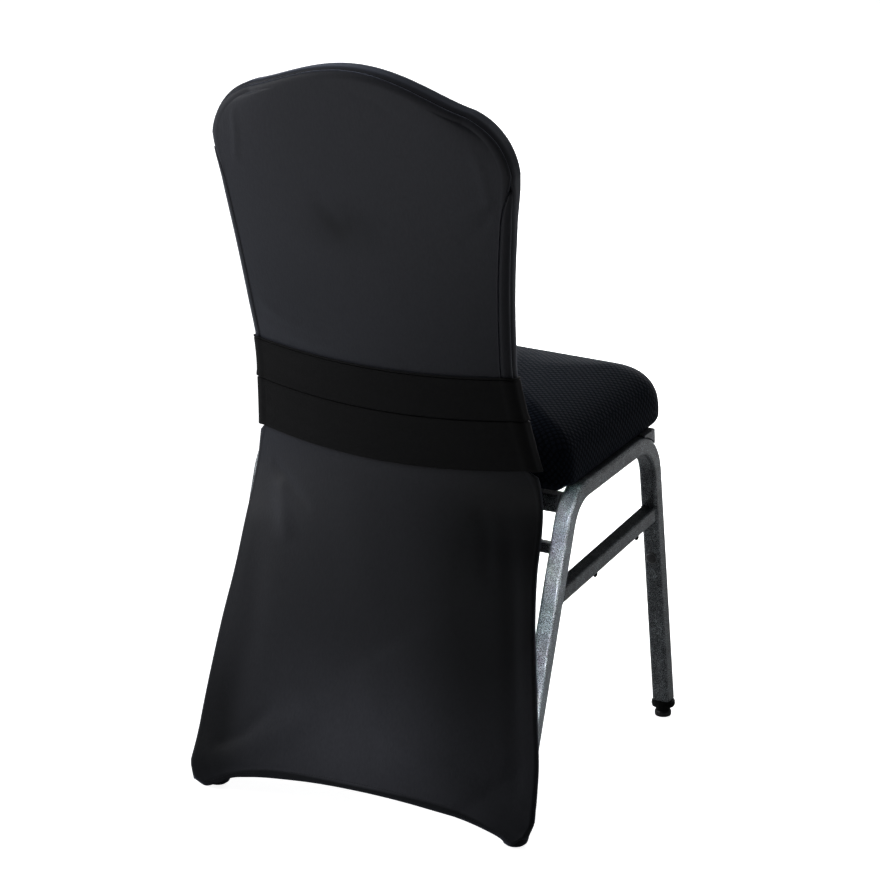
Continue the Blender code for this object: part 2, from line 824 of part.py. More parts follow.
def seat_outline(inset):
    """A rounded rectangle set in from the outline of the seat, with the same points whatever the inset."""
    x = SEAT_HALF_WIDTH - inset
    front = SEAT_FRONT_Y + inset
    rear = SEAT_REAR_Y - inset
    front_radius = max(SEAT_FRONT_RADIUS - inset, 0.006)
    rear_radius = max(SEAT_REAR_RADIUS - inset, 0.006)
    corners = (
        # corner x, corner y, radius, first angle
        (x - rear_radius, rear - rear_radius, rear_radius, 0.0),
        (-x + rear_radius, rear - rear_radius, rear_radius, 90.0),
        (-x + front_radius, front + front_radius, front_radius, 180.0),
        (x - front_radius, front + front_radius, front_radius, 270.0),
    )
    arcs = []
    for cx, cy, radius, first in corners:
        angles = [math.radians(first + 90.0 * i / SEAT_CORNER_STEPS) for i in range(SEAT_CORNER_STEPS + 1)]
        arcs.append([(cx + radius * math.cos(a), cy + radius * math.sin(a)) for a in angles])
    points = []
    for i, arc in enumerate(arcs):
        points += arc
        last = np.array(arc[-1])
        following = np.array(arcs[(i + 1) % 4][0])
        for step in range(1, SEAT_SIDE_STEPS):
            points.append(tuple(last + (following - last) * step / SEAT_SIDE_STEPS))
    return points


def lip_drop(y, height):
    """The front and rear of the seat hang lower than its sides, over the board's edge."""
    front = float(np.clip((SEAT_FRONT_Y + 0.030 - y) / 0.025, 0.0, 1.0))
    rear = float(np.clip((y - SEAT_REAR_Y + 0.012) / 0.008, 0.0, 1.0))
    low = float(np.clip((0.4165 - height) / 0.002, 0.0, 1.0))
    return (SEAT_FRONT_DROP * front + SEAT_REAR_DROP * rear) * low


def build_seat():
    rings = []
    for inset, height in SEAT_ROWS:
        rings.append([(x, y, height - lip_drop(y, height)) for x, y in seat_outline(inset)])
    bm = face_outwards(loft(rings, wrap=True, close_ends=True))
    return add_part("seat_cushion", bm, "seat_fabric")


def build_board():
    rings = [[(x, y, z) for x, y in seat_outline(BOARD_INSET)] for z in BOARD_Z]
    bm = face_outwards(loft(rings, wrap=True, close_ends=True))
    return add_part("seat_board", bm, "seat_board", smooth=False)


def build_chair():
    build_core()
    build_seat()
    build_board()
    inner = FRAME_X - TUBE / 2 - GAP
    low_y = -REAR_LEAN * LOW_BAR_Z
    for name, side in (("left", 1.0), ("right", -1.0)):
        build_side_frame("side_frame_" + name, side)
        build_stretcher("stretcher_" + name, side)
        front_y = FRONT_FOOT_Y + FRONT_LEAN * LEG_END_Z
        feet = (("front", front_y, 0.0), ("rear", leg_depth(0.0), CLOTH + GAP))
        for end, y, lift in feet:
            at = Matrix.Translation((side * FRAME_X, y, lift))
            turned(f"foot_cap_{end}_{name}", CAP_PROFILE, at, "foot_rubber")
            turned(f"glide_{end}_{name}", GLIDE_PROFILE, at, "glide_plastic")
        slope = math.atan(FRONT_LEAN)
        plug_y = FRONT_FOOT_Y + FRONT_LEAN * PLUG_Z + (TUBE / 2 + GAP) * math.hypot(1.0, FRONT_LEAN)
        tilt = Matrix.Rotation(-math.pi / 2 - slope, 4, "X")
        at = Matrix.Translation((side * FRAME_X, plug_y, PLUG_Z)) @ tilt
        turned("plug_" + name, PLUG_PROFILE, at, "plug_plastic")
        bottom_z = LOW_BAR_Z + LOW_BAR / 2 + GAP
        top_z = CORE_BOTTOM - GAP
        middle_y = (low_y + POST_TOP_Y) / 2
        lean = (POST_TOP_Y - low_y) / (top_z - bottom_z)
        centre = (side * POST_X, middle_y)
        bar("post_" + name, "z", (bottom_z, top_z), centre, POST, 0.003, "frame_paint", lean)
    span = (-inner, inner)
    bar("cross_tube_front", "x", span, FRONT_CROSS, CROSS_TUBE, 0.003, "frame_paint")
    bar("cross_tube_rear", "x", span, REAR_CROSS, CROSS_TUBE, 0.003, "frame_paint")
    bar("cross_bar_low", "x", span, (low_y, LOW_BAR_Z), LOW_BAR, STRETCHER_RADIUS, "frame_paint")


def build_cover():
    build_back_panel()
    build_front_panel()
    build_sash()
    for name, side in (("left", 1.0), ("right", -1.0)):
        build_gusset("gusset_" + name, side)
        build_pocket("foot_pocket_" + name, side)


clear_scene()
parts = new_collection("chair_with_cover")
helpers = new_collection("helpers")
materials = {name: new_material(name, *values) for name, values in MATERIALS.items()}
build_cover()
build_chair()
for part in parts.objects:
    part.data.transform(Matrix.Translation((0.0, FOOTPRINT_SHIFT, 0.0)))
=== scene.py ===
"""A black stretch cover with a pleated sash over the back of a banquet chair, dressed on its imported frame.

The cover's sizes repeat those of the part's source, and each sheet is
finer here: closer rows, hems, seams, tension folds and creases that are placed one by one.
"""

import json
import math

import bmesh
import bpy
import numpy as np
from mathutils import Matrix, Vector


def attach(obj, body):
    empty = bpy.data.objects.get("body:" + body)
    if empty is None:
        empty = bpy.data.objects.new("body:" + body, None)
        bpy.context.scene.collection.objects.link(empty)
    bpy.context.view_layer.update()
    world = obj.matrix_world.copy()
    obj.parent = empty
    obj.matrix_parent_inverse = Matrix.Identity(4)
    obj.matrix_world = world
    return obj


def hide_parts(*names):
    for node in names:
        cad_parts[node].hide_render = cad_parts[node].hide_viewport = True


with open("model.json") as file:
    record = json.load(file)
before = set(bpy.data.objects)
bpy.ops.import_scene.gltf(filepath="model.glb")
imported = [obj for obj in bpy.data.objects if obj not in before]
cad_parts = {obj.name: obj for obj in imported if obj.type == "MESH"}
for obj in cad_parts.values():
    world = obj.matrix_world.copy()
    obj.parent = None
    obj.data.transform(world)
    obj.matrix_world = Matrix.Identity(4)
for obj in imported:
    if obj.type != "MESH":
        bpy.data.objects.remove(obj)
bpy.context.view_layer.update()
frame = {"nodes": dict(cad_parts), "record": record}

SHIFT = 0.20596
BODY = "root"

# Cover
CROWN_BEND = 2.93
CROWN_FLARE = 46.0
SHOULDER_X = 0.1112
SHOULDER_Z = 0.8343
SHOULDER_RADIUS = 0.0828
SHOULDER_ROLL = 0.0063
CROWN_FROM = 0.60
HEM_TO = 0.30
LEAN_ROWS = ((0.44, math.radians(15.0)), (0.95, math.radians(2.0)))
FRONT_FULLNESS = 0.010
HOOD_BOTTOM = 0.452
CURTAIN_TOP = 0.440
CURTAIN_TURN = 1.2
CORE_BOTTOM = 0.458
CORE_INSET = 0.0042
CORE_ROW = 0.463
CORE_SLOPE = 0.284

COVER_ROWS = (
    # height, half width, middle depth, edge depth, edge radius, body depth
    (0.000, 0.2235, 0.0190, 0.0150, 0.005, 0.0240),
    (0.012, 0.2270, 0.0181, 0.0145, 0.005, 0.0240),
    (0.022, 0.2295, 0.0172, 0.0132, 0.005, 0.0240),
    (0.035, 0.2284, 0.0155, 0.0095, 0.005, 0.0240),
    (0.060, 0.2265, 0.0112, -0.0010, 0.005, 0.0240),
    (0.090, 0.2244, 0.0062, -0.0100, 0.005, 0.0240),
    (0.150, 0.2170, -0.0037, -0.0212, 0.005, 0.0240),
    (0.210, 0.2088, -0.0132, -0.0333, 0.005, 0.0240),
    (0.270, 0.1998, -0.0227, -0.0480, 0.005, 0.0240),
    (0.330, 0.1940, -0.0321, -0.0645, 0.005, 0.0240),
    (0.370, 0.1916, -0.0385, -0.0805, 0.005, 0.0240),
    (0.400, 0.1890, -0.0432, -0.0875, 0.005, 0.0240),
    (0.425, 0.1862, -0.0465, -0.0860, 0.007, 0.0260),
    (0.448, 0.1820, -0.0465, -0.0788, 0.012, 0.0355),
    (0.470, 0.1787, -0.0407, -0.0712, 0.012, 0.0355),
    (0.510, 0.1735, -0.0294, -0.0578, 0.012, 0.0355),
    (0.545, 0.1700, -0.0195, -0.0466, 0.012, 0.0355),
    (0.575, 0.1683, -0.0113, -0.0357, 0.012, 0.0355),
    (0.620, 0.1708, 0.0002, -0.0222, 0.012, 0.0362),
    (0.700, 0.1773, 0.0181, -0.0008, 0.012, 0.0368),
    (0.780, 0.1865, 0.0334, 0.0194, 0.012, 0.0374),
    (0.842, 0.1931, 0.0446, 0.0352, 0.012, 0.0396),
    (0.900, 0.1806, 0.0536, 0.0456, 0.012, 0.0420),
    (0.955, 0.1600, 0.0618, 0.0535, 0.012, 0.0430),
)
HEM_ROWS = (
    # share of the half width, from the right to the left, and height of the hem
    (-1.00, 0.0180),
    (-0.94, 0.0075),
    (-0.87, 0.0148),
    (-0.78, 0.0212),
    (-0.67, 0.0268),
    (-0.42, 0.0330),
    (0.00, 0.0370),
    (0.28, 0.0354),
    (0.42, 0.0328),
    (0.67, 0.0254),
    (0.78, 0.0195),
    (0.87, 0.0085),
    (0.94, 0.0030),
    (1.00, 0.0080),
)
# A seam's place on the edge of the hood: 0 to 1 is the rear rounding, 1 to 2 the side,
# and 2 to 3 the front rounding.
SEAM_ROWS = (
    # height, back panel's edge, front panel's edge
    (0.452, 0.06, 1.35),
    (0.600, 0.05, 1.25),
    (0.700, 0.05, 1.18),
    (0.760, 0.06, 1.12),
    (0.785, 0.10, 1.06),
    (0.802, 0.20, 0.99),
    (0.815, 0.38, 0.92),
    (0.825, 0.56, 0.86),
    (0.833, 0.66, 0.72),
    (0.842, 0.77, 0.83),
    (0.863, 0.69, 0.75),
    (0.883, 0.67, 0.73),
    (0.905, 0.52, 0.58),
    (0.955, 0.64, 0.70),
)
GUSSET_TOP = 0.8255
CORNER_ANGLE = 18.86

# Seat
SEAT_HALF_WIDTH = 0.206
SEAT_FRONT_Y = -0.452
SEAT_REAR_Y = -0.128
SEAT_FRONT_RADIUS = 0.062
SEAT_REAR_RADIUS = 0.022
SEAT_FRONT_DROP = 0.008
SEAT_REAR_DROP = 0.005
SEAT_STEP = 0.004
SEAT_ROWS = (
    # inset, height
    (0.0600, 0.4196),
    (0.0085, 0.4196),
    (0.0080, 0.4140),
    (0.0035, 0.4125),
    (0.0018, 0.4170),
    (0.0015, 0.4270),
    (0.0028, 0.4400),
    (0.0062, 0.4508),
    (0.0118, 0.4602),
    (0.0240, 0.4695),
    (0.0470, 0.4775),
    (0.0780, 0.4836),
    (0.1100, 0.4868),
    (0.1420, 0.4876),
)

# Feet and pockets
POCKET_ROWS = (
    # height, radius, forward stretch
    (0.000, 0.0130, 1.00),
    (0.002, 0.0148, 1.00),
    (0.006, 0.0162, 1.00),
    (0.014, 0.0172, 1.00),
    (0.022, 0.0176, 1.00),
    (0.040, 0.0178, 1.03),
    (0.056, 0.0181, 1.06),
    (0.067, 0.0186, 1.10),
)

# Chair frame sizes that the cloth follows
FRAME_X = 0.2005
REAR_LEAN = 0.3557
LEG_END_Z = 0.022
TUBE = 0.022
TUBE_REACH = TUBE / 2 + 0.0006
RAIL_Z = 0.400
FRONT_FOOT_Y = -0.4608
FRONT_LEAN = 0.2014
FRONT_BEND = 0.062
FRONT_CORNER_Y = -0.3802
BEND_TANGENT = 0.0507
STRETCHER = 0.0185
STRETCHER_Z = 0.2887
STRETCHER_SLOPE = 0.040
STRETCHER_MIDDLE_Y = -0.255
STRETCHER_ENDS = (-0.3885, -0.116)
PLUG_Z = 0.230
RING_RADIUS = 0.0066
RING_WIDE = 0.0008
RING_HIGH = 0.0009
TAB_X = (0.1910, 0.2104)
TAB_Y = (-0.3795, -0.3460)
TAB_TOP = 0.4117
STUDS = ((-0.338, 0.2814), (-0.213, 0.2762))
STUD_OUT = 0.0062
WELD_STEPS = 72
WELD_BEAD = 0.0011
WELD_UNEVEN = 0.00022

# Sash
SASH_RISE = 0.228
SASH_STEP = 0.0035
SASH_PROFILE = (
    # height in the middle of the back, distance out from the hood
    (0.5697, 0.0007),
    (0.5700, 0.0017),
    (0.5696, 0.0028),
    (0.5682, 0.0029),
    (0.5678, 0.0028),
    (0.5676, 0.0012),
    (0.5663, 0.0012),
    (0.5661, 0.0026),
    (0.5655, 0.0029),
    (0.5400, 0.0030),
    (0.5200, 0.0033),
    (0.5150, 0.0040),
    (0.5122, 0.0041),
    (0.5119, 0.0040),
    (0.5117, 0.0011),
    (0.5099, 0.0010),
    (0.5096, 0.0012),
    (0.5094, 0.0028),
    (0.5088, 0.0031),
    (0.4900, 0.0032),
    (0.4700, 0.0032),
    (0.4500, 0.0032),
    (0.4420, 0.0033),
    (0.4406, 0.0028),
    (0.4404, 0.0016),
    (0.4406, 0.0007),
    (0.4750, 0.0007),
    (0.5115, 0.0007),
    (0.5400, 0.0007),
)

# Cloth sheets as they are shown, and how far their seams sink
SHEET = 0.0014
POCKET_SHEET = 0.0012
SEAM_SINK = 0.0015
SEAM_STEPS = 3
GUSSET_STEPS = 10
GUSSET_SINK = 0.0012
HOOD_LEVELS = 56
SHOULDER_START = 0.760
SHOULDER_LEVELS = 14
CORNER_TURNS = 18

# Hem
HEM_DEEP = 0.0095
HEM_RAISE = 0.0008
HEM_MIDDLE = 0.0370
HEM_ARCH = 19.0
HEM_GROOVE = 0.0009
STITCH_PITCH = 0.0034
STITCH_LENGTH = 0.00105
STITCH_RADIUS = 0.0003

# Painted light on the knit, patches that lighten its colour as painted highlights or darken it as painted
# shade: x, z, wide, high, gain
PAINTED_LIGHT_FIELD = (
    (0.005, 0.085, 0.125, 0.090, 1.80),
    (-0.140, 0.170, 0.060, 0.110, -0.40),
    (-0.165, 0.345, 0.090, 0.130, -1.10),
    (0.200, 0.085, 0.045, 0.080, -0.95),
    (0.000, 0.240, 0.400, 0.220, -0.38),
    (-0.210, 0.020, 0.045, 0.045, -0.60),
    (0.210, 0.020, 0.045, 0.045, -0.40),
    (0.022, 0.752, 0.040, 0.026, -0.80),
    (0.115, 0.640, 0.070, 0.060, -0.40),
    (0.160, 0.860, 0.060, 0.070, 0.35),
    (0.135, 0.360, 0.022, 0.030, 0.50),
)

# Seat weave
WEAVE_WIDE = 0.0088
WEAVE_LONG = 0.0088
SEAT_DARK = (0.0010, 0.0014, 0.0024)
SEAT_LIGHT = (0.0046, 0.0080, 0.0170)

POCKET_TOP = 0.067
POCKET_STEPS = 64
POCKET_ROUND = 0.0016
POCKET_GATHER = 0.0004

FRONT_FOLDS = (
    # points of x and z, width, height
    (((-0.150, 0.600), (-0.080, 0.585), (0.020, 0.580)), 0.009, 0.0006),
    (((0.150, 0.610), (0.090, 0.592), (0.010, 0.590)), 0.009, 0.0005),
    (((-0.165, 0.800), (-0.140, 0.840), (-0.110, 0.870)), 0.012, -0.0006),
    (((0.165, 0.800), (0.140, 0.840), (0.110, 0.870)), 0.012, -0.0006),
)

# Floor, light and camera
FLOOR_SIZE = 30.0
FLOOR_GLOW = 0.90
FLOOR_SWEEP = 1.30
FLOOR_SHADE = (0.62, 1.05, 0.02)
FLOOR_AHEAD = (-0.75, -1.20, 0.34)
ROOM_LIGHT = 0.05
ROOM_COLOUR = (0.94, 0.96, 1.0)
LIGHTS = (
    # name, place, target, size, power, colour
    ("key", (2.962, 1.197, 1.613), (0.0, 0.05, 0.45), (1.4, 2.0), 66.0, (0.97, 0.98, 1.0)),
    ("top", (1.244, 0.718, 3.531), (0.0, 0.05, 0.45), (1.6, 1.6), 10.0, (0.95, 0.97, 1.0)),
    ("back", (1.137, 1.970, 2.977), (0.0, 0.05, 0.45), (1.6, 1.6), 8.0, (0.97, 0.98, 1.0)),
    ("front", (0.589, -3.340, 0.687), (0.0, 0.0, 0.45), (1.8, 1.0), 40.0, (0.97, 0.98, 1.0)),
    ("fill", (-1.600, -2.600, 2.300), (0.0, -0.05, 0.50), (2.0, 1.4), 7.0, (0.95, 0.98, 1.0)),
    ("low", (1.150, 3.150, 0.900), (0.0, 0.20, 0.12), (0.9, 0.5), 3.0, (0.80, 0.90, 1.0)),
)
TUBE_LIGHT = ("tubes", (-1.47, 2.6, 2.75), (-0.2, 0.125, 0.19), (0.05, 0.36), 0.56, (0.95, 0.98, 1.0))
TUBE_SPREAD = 2.0
CAMERA_AZIMUTH = 205.045
CAMERA_ELEVATION = 20.0326
CAMERA_ROLL = 1.0
CAMERA_DISTANCE = 6.6794
CAMERA_AIM_X = 0.00207
CAMERA_AIM_Z = 0.41767
CAMERA_LENS = 225.0

# Mesh helpers


def add_object(name, data):
    obj = bpy.data.objects.new(name, data)
    bpy.context.scene.collection.objects.link(obj)
    return obj


def add_mesh(name, bm, material):
    mesh = bpy.data.meshes.new(name)
    bm.to_mesh(mesh)
    bm.free()
    mesh.materials.append(material)
    return add_object(name, mesh)


def add_piece(name, bm, look, replaces=(), smooth=True):
    """A mesh that rides the body, in the slot of its material."""
    obj = add_mesh(name, bm, materials[look])
    for face in obj.data.polygons:
        face.use_smooth = smooth
    obj.location.y = SHIFT
    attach(obj, BODY)
    if replaces:
        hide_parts(*replaces)
    return obj


def add_sheet(name, bm, look, node, thickness=SHEET):
    """A piece of cloth, given its thickness inwards."""
    obj = add_piece(name, bm, look, [node])
    solidify = obj.modifiers.new("Cloth", "SOLIDIFY")
    solidify.thickness = thickness
    solidify.offset = -1.0
    solidify.use_even_offset = False


def join_rows(bm, rows, wrap=False):
    """Quads between each row of vertices and the next."""
    count = len(rows[0])
    for low, high in zip(rows, rows[1:]):
        for j in range(count if wrap else count - 1):
            k = (j + 1) % count
            bm.faces.new((low[j], low[k], high[k], high[j]))


def add_grid(bm, rows, wrap=False, wrap_rows=False):
    """Vertices at rows of points, and the quads between them."""
    grid = [[bm.verts.new(point) for point in row] for row in rows]
    join_rows(bm, grid + grid[:1] if wrap_rows else grid, wrap)
    return grid


def grid_mesh(rows, **closed):
    bm = bmesh.new()
    add_grid(bm, rows, **closed)
    return bm


def rim_of(grid):
    """The outline of a grid, up one side, over its top and down the other side."""
    return [row[0] for row in grid[:-1]] + grid[-1] + [row[-1] for row in reversed(grid[:-1])]


def circle(count):
    """Angles in even steps round a circle."""
    return np.linspace(0.0, 2 * math.pi, count, endpoint=False)


def face_outwards(bm):
    bmesh.ops.recalc_face_normals(bm, faces=bm.faces)
    return bm


def face_along(bm, towards):
    bmesh.ops.recalc_face_normals(bm, faces=bm.faces)
    bm.normal_update()
    facing = sum(face.calc_area() * face.normal.dot(Vector(towards)) for face in bm.faces)
    if facing < 0:
        bmesh.ops.reverse_faces(bm, faces=bm.faces)
    return bm


def column(table, index):
    """A smooth function of the first column through one column of a table."""
    at = np.array([row[0] for row in table])
    values = np.array([row[index] for row in table])
    slopes = np.gradient(values, at)

    def value(height):
        i = int(np.clip(np.searchsorted(at, height) - 1, 0, len(at) - 2))
        step = at[i + 1] - at[i]
        t = float(np.clip((height - at[i]) / step, 0.0, 1.0))
        rise = t * t * (3 - 2 * t)
        start = values[i] * (1 - rise) + values[i + 1] * rise
        return start + step * (slopes[i] * t * (1 - t) ** 2 - slopes[i + 1] * t * t * (1 - t))

    return value


def straight(table, index):
    at = [row[0] for row in table]
    values = [row[index] for row in table]
    return lambda height: float(np.interp(height, at, values))


def finer(table, count):
    """The rows of a table with even steps put in between, as many as each move asks for."""
    rows = np.array(table)
    runs = []
    for row, move in zip(rows, np.diff(rows, axis=0)):
        steps = max(1, count(move))
        runs += [row + move * step / steps for step in range(steps)]
    return np.array(runs + [rows[-1]])


def smooth(low, high, value):
    t = np.clip((value - low) / (high - low), 0.0, 1.0)
    return t * t * (3 - 2 * t)


half_width = column(COVER_ROWS, 1)
middle_depth = column(COVER_ROWS, 2)
edge_depth = column(COVER_ROWS, 3)
edge_radius = straight(COVER_ROWS, 4)
body_depth = straight(COVER_ROWS, 5)
hem_height = column(HEM_ROWS, 1)
lean_at = straight(LEAN_ROWS, 1)
back_seam = straight(SEAM_ROWS, 1)
front_seam = straight(SEAM_ROWS, 2)


# Shape of the covered back, as in the part's source


def crown(x):
    return -CROWN_BEND * x**2 + CROWN_FLARE * x**4


def crown_normal(x):
    slope = -2 * CROWN_BEND * x + 4 * CROWN_FLARE * x**3
    return np.array((-slope, 0.0, 1.0)) / math.hypot(slope, 1.0)


def back_depth(x, z):
    bow = 2 * (middle_depth(z) - edge_depth(z)) / half_width(z) ** 2
    return middle_depth(z) - bow * x * x / 2


def forwards(z):
    lean = lean_at(z)
    return np.array((0.0, -math.cos(lean), -math.sin(lean)))


def fine_shares(count):
    """Shares of the half width from one side to the other, closer together near the sides."""
    return [math.copysign(1 - (1 - abs(t)) ** 1.5, t) for t in np.linspace(-1.0, 1.0, count)]


class Edge:
    """A level on the rounded side of the covered back, and the way that it faces."""

    def __init__(self, x, z, nx, nz):
        self.radius = edge_radius(z)
        self.depth = body_depth(z)
        self.z = z
        self.normal = np.array((nx, 0.0, nz))
        self.inner_x = x - self.radius * nx
        self.inner_z = z - self.radius * nz


def side_edges(bottom, curtain_rows=0, hood_rows=HOOD_LEVELS, turns=CORNER_TURNS):
    """Edges up one side, from a height to the corner of the crown."""
    heights = list(np.linspace(bottom, CURTAIN_TOP, curtain_rows))
    heights += list(np.linspace(max(bottom, HOOD_BOTTOM), SHOULDER_START, hood_rows))
    heights += list(np.linspace(SHOULDER_START, SHOULDER_Z, SHOULDER_LEVELS))[1:]
    edges = [Edge(half_width(z), z, 1.0, 0.0) for z in heights]
    for turn in np.radians(np.linspace(84.0, CORNER_ANGLE, turns)):
        nx, nz = math.sin(turn), math.cos(turn)
        edges.append(Edge(SHOULDER_X + SHOULDER_RADIUS * nx, SHOULDER_Z + SHOULDER_RADIUS * nz, nx, nz))
    return edges


def flat_point(edges, edge, share, hemmed):
    """A point on the flat of the back panel, which rises to the crown and, in the curtain, to the hem."""
    corner, top = edges[-1].inner_x, edges[-1].inner_z
    crowned = float(np.clip((edge.inner_z - CROWN_FROM) / (top - CROWN_FROM), 0.0, 1.0)) ** 2
    x = share * edge.inner_x
    z = edge.inner_z + crowned * (crown(share * corner) - crown(corner))
    if hemmed:
        z += hem_height(share) * max(0.0, 1.0 - edge.z / HEM_TO) ** 2
    y = back_depth(x, z) - SHOULDER_ROLL * crowned**2 * abs(share) ** 6
    return np.array((x, y, z))


def fullness(share, height):
    upright = np.clip((height - CORE_BOTTOM) / (0.93 - CORE_BOTTOM), 0.0, 1.0)
    return FRONT_FULLNESS * (1 - share**2) ** 2 * math.sin(math.pi * upright) ** 2


def front_point(edges, edge, share, inset):
    point = flat_point(edges, edge, share, False)
    depth = edge.depth - inset + fullness(share, point[2])
    return point + depth * forwards(point[2])


def edge_point(base, normal, edge, place, inset):
    radius, depth = edge.radius, edge.depth
    left = radius - inset
    if place <= 1:
        angle = place * math.pi / 2
        out, deep = left * math.sin(angle), radius - left * math.cos(angle)
    elif place <= 2:
        out, deep = left, radius + (place - 1) * (depth - 2 * radius)
    else:
        angle = (place - 2) * math.pi / 2
        out, deep = left * math.cos(angle), depth - radius + left * math.sin(angle)
    return base + out * normal + deep * forwards(base[2])


def boundary(edges, shares, hemmed):
    """Up the right side, over the crown and down the left: an edge, a point and its way out."""
    run = [(edge, -1.0) for edge in edges] + [(edges[-1], share) for share in shares[1:-1]]
    run += [(edge, 1.0) for edge in reversed(edges)]
    placed = []
    for edge, share in run:
        base = flat_point(edges, edge, share, hemmed)
        on_side = abs(share) == 1.0
        normal = edge.normal * np.array((share, 1.0, 1.0)) if on_side else crown_normal(base[0])
        placed.append((edge, base, normal))
    return placed


def seam_places(placed, seam, narrow):
    ends = []
    for edge, base, _ in placed:
        share = abs(base[0]) / edge.inner_x
        end = seam(SEAM_ROWS[-1][0]) * (1 - share) + seam(edge.z) * share + narrow
        ends.append(CURTAIN_TURN if edge.z <= CURTAIN_TOP + 1e-6 else end)
    return ends


def arc_places(first, last, edge, count):
    """Places from one edge place to another in even steps of length round the edge."""
    turn = edge.radius * math.pi / 2
    flat = max(edge.depth - 2 * edge.radius, 1e-4)
    stops = (0.0, turn, turn + flat, 2 * turn + flat)
    start, end = np.interp((first, last), (0, 1, 2, 3), stops)
    run = np.linspace(start, end, count + 1)[1:]
    return list(np.interp(run, stops, (0, 1, 2, 3)))


# Folds


def crease(x, z, points, width, depth):
    """A soft ridge or trough along a run of points, fading at its ends."""
    run = np.array(points, float)
    lengths = np.hypot(*np.diff(run, axis=0).T)
    total = lengths.sum()
    best = np.full(np.shape(x), 1e9)
    along = np.zeros(np.shape(x))
    walked = 0.0
    for (ax, az), (bx, bz), length in zip(run[:-1], run[1:], lengths):
        t = np.clip(((x - ax) * (bx - ax) + (z - az) * (bz - az)) / length**2, 0.0, 1.0)
        away = np.hypot(x - ax - t * (bx - ax), z - az - t * (bz - az))
        nearer = away < best
        best = np.where(nearer, away, best)
        along = np.where(nearer, (walked + t * length) / total, along)
        walked += length
    fade = np.clip(4 * along * (1 - along), 0.0, 1.0) ** 0.5
    return depth * fade * np.exp(-((best / width) ** 2))


CURTAIN_FOLDS = (
    # points of x and z, width, height
    (((0.162, 0.405), (0.131, 0.383), (0.098, 0.362)), 0.005, -0.0022),
    (((0.150, 0.385), (0.137, 0.350), (0.126, 0.318)), 0.012, 0.0024),
    (((0.166, 0.330), (0.163, 0.200), (0.181, 0.110), (0.186, 0.050)), 0.017, -0.0013),
    (((-0.150, 0.400), (-0.172, 0.300), (-0.190, 0.180), (-0.206, 0.060)), 0.012, -0.0018),
    (((-0.035, 0.225), (-0.085, 0.160), (-0.125, 0.110), (-0.165, 0.065)), 0.072, 0.0048),
    (((0.010, 0.200), (-0.020, 0.130), (-0.110, 0.070), (-0.190, 0.030)), 0.022, 0.0014),
    (((0.060, 0.130), (0.120, 0.080), (0.175, 0.045), (0.200, 0.030)), 0.018, 0.0016),
    (((-0.205, 0.055), (-0.165, 0.070), (-0.120, 0.110)), 0.010, -0.0004),
    (((0.205, 0.050), (0.160, 0.075), (0.120, 0.120)), 0.007, -0.0012),
    (((-0.120, 0.405), (-0.135, 0.360), (-0.140, 0.310)), 0.009, -0.0010),
    (((0.040, 0.410), (0.020, 0.330), (0.010, 0.250)), 0.030, 0.0010),
)
HOOD_FOLDS = (
    (((0.056, 0.786), (0.034, 0.760), (0.020, 0.744), (0.000, 0.752)), 0.010, -0.0010),
    (((0.158, 0.880), (0.156, 0.845), (0.160, 0.810)), 0.004, 0.0008),
    (((-0.150, 0.872), (-0.160, 0.840), (-0.166, 0.800)), 0.006, 0.0006),
    (((-0.174, 0.812), (-0.150, 0.795), (-0.120, 0.785)), 0.005, 0.0007),
    (((-0.172, 0.796), (-0.150, 0.770), (-0.125, 0.745)), 0.005, -0.0005),
    (((-0.060, 0.900), (-0.030, 0.917), (0.010, 0.925)), 0.004, -0.0004),
    (((0.168, 0.640), (0.120, 0.610), (0.060, 0.600)), 0.008, 0.0005),
    (((0.150, 0.600), (0.080, 0.585), (-0.040, 0.580)), 0.006, 0.0005),
)


# The cover


def sheet_with_edge(rows, placed, first, seam, narrow, steps):
    """A grid of points with strips along its sides and top up to a seam, the last of them sunk."""
    ends = seam_places(placed, seam, narrow)
    places = [arc_places(first, end, edge, steps) for end, (edge, _, _) in zip(ends, placed)]
    bm = bmesh.new()
    grid = add_grid(bm, rows)
    rim = rim_of(grid)
    for step in range(steps):
        ring = []
        left = steps - 1 - step
        for (edge, base, normal), run in zip(placed, places):
            sunk = left < SEAM_STEPS and edge.z > CURTAIN_TOP
            inset = SEAM_SINK * (1 - left / SEAM_STEPS) if sunk else 0.0
            ring.append(bm.verts.new(edge_point(base, normal, edge, run[step], inset)))
        join_rows(bm, (rim, ring))
        rim = ring
    return bm, grid


def fold_sheet(bm, grid, shares, folds, flat_from, extra=0.0):
    """Moves a grid out by its folds, which fade towards its two sides, and by what is added to them."""
    verts = [vert for row in grid for vert in row]
    x, z = (np.array([vert.co[i] for vert in verts]) for i in (0, 2))
    moves = sum(crease(x, z, *fold) for fold in folds)
    across = np.tile(np.abs(np.array(shares)), len(grid))
    moves = moves * (1 - smooth(flat_from, 1.0, across)) + extra
    bm.normal_update()
    shifts = [vert.normal * float(move) for vert, move in zip(verts, moves)]
    for vert, shift in zip(verts, shifts):
        vert.co += shift


hem_line = []


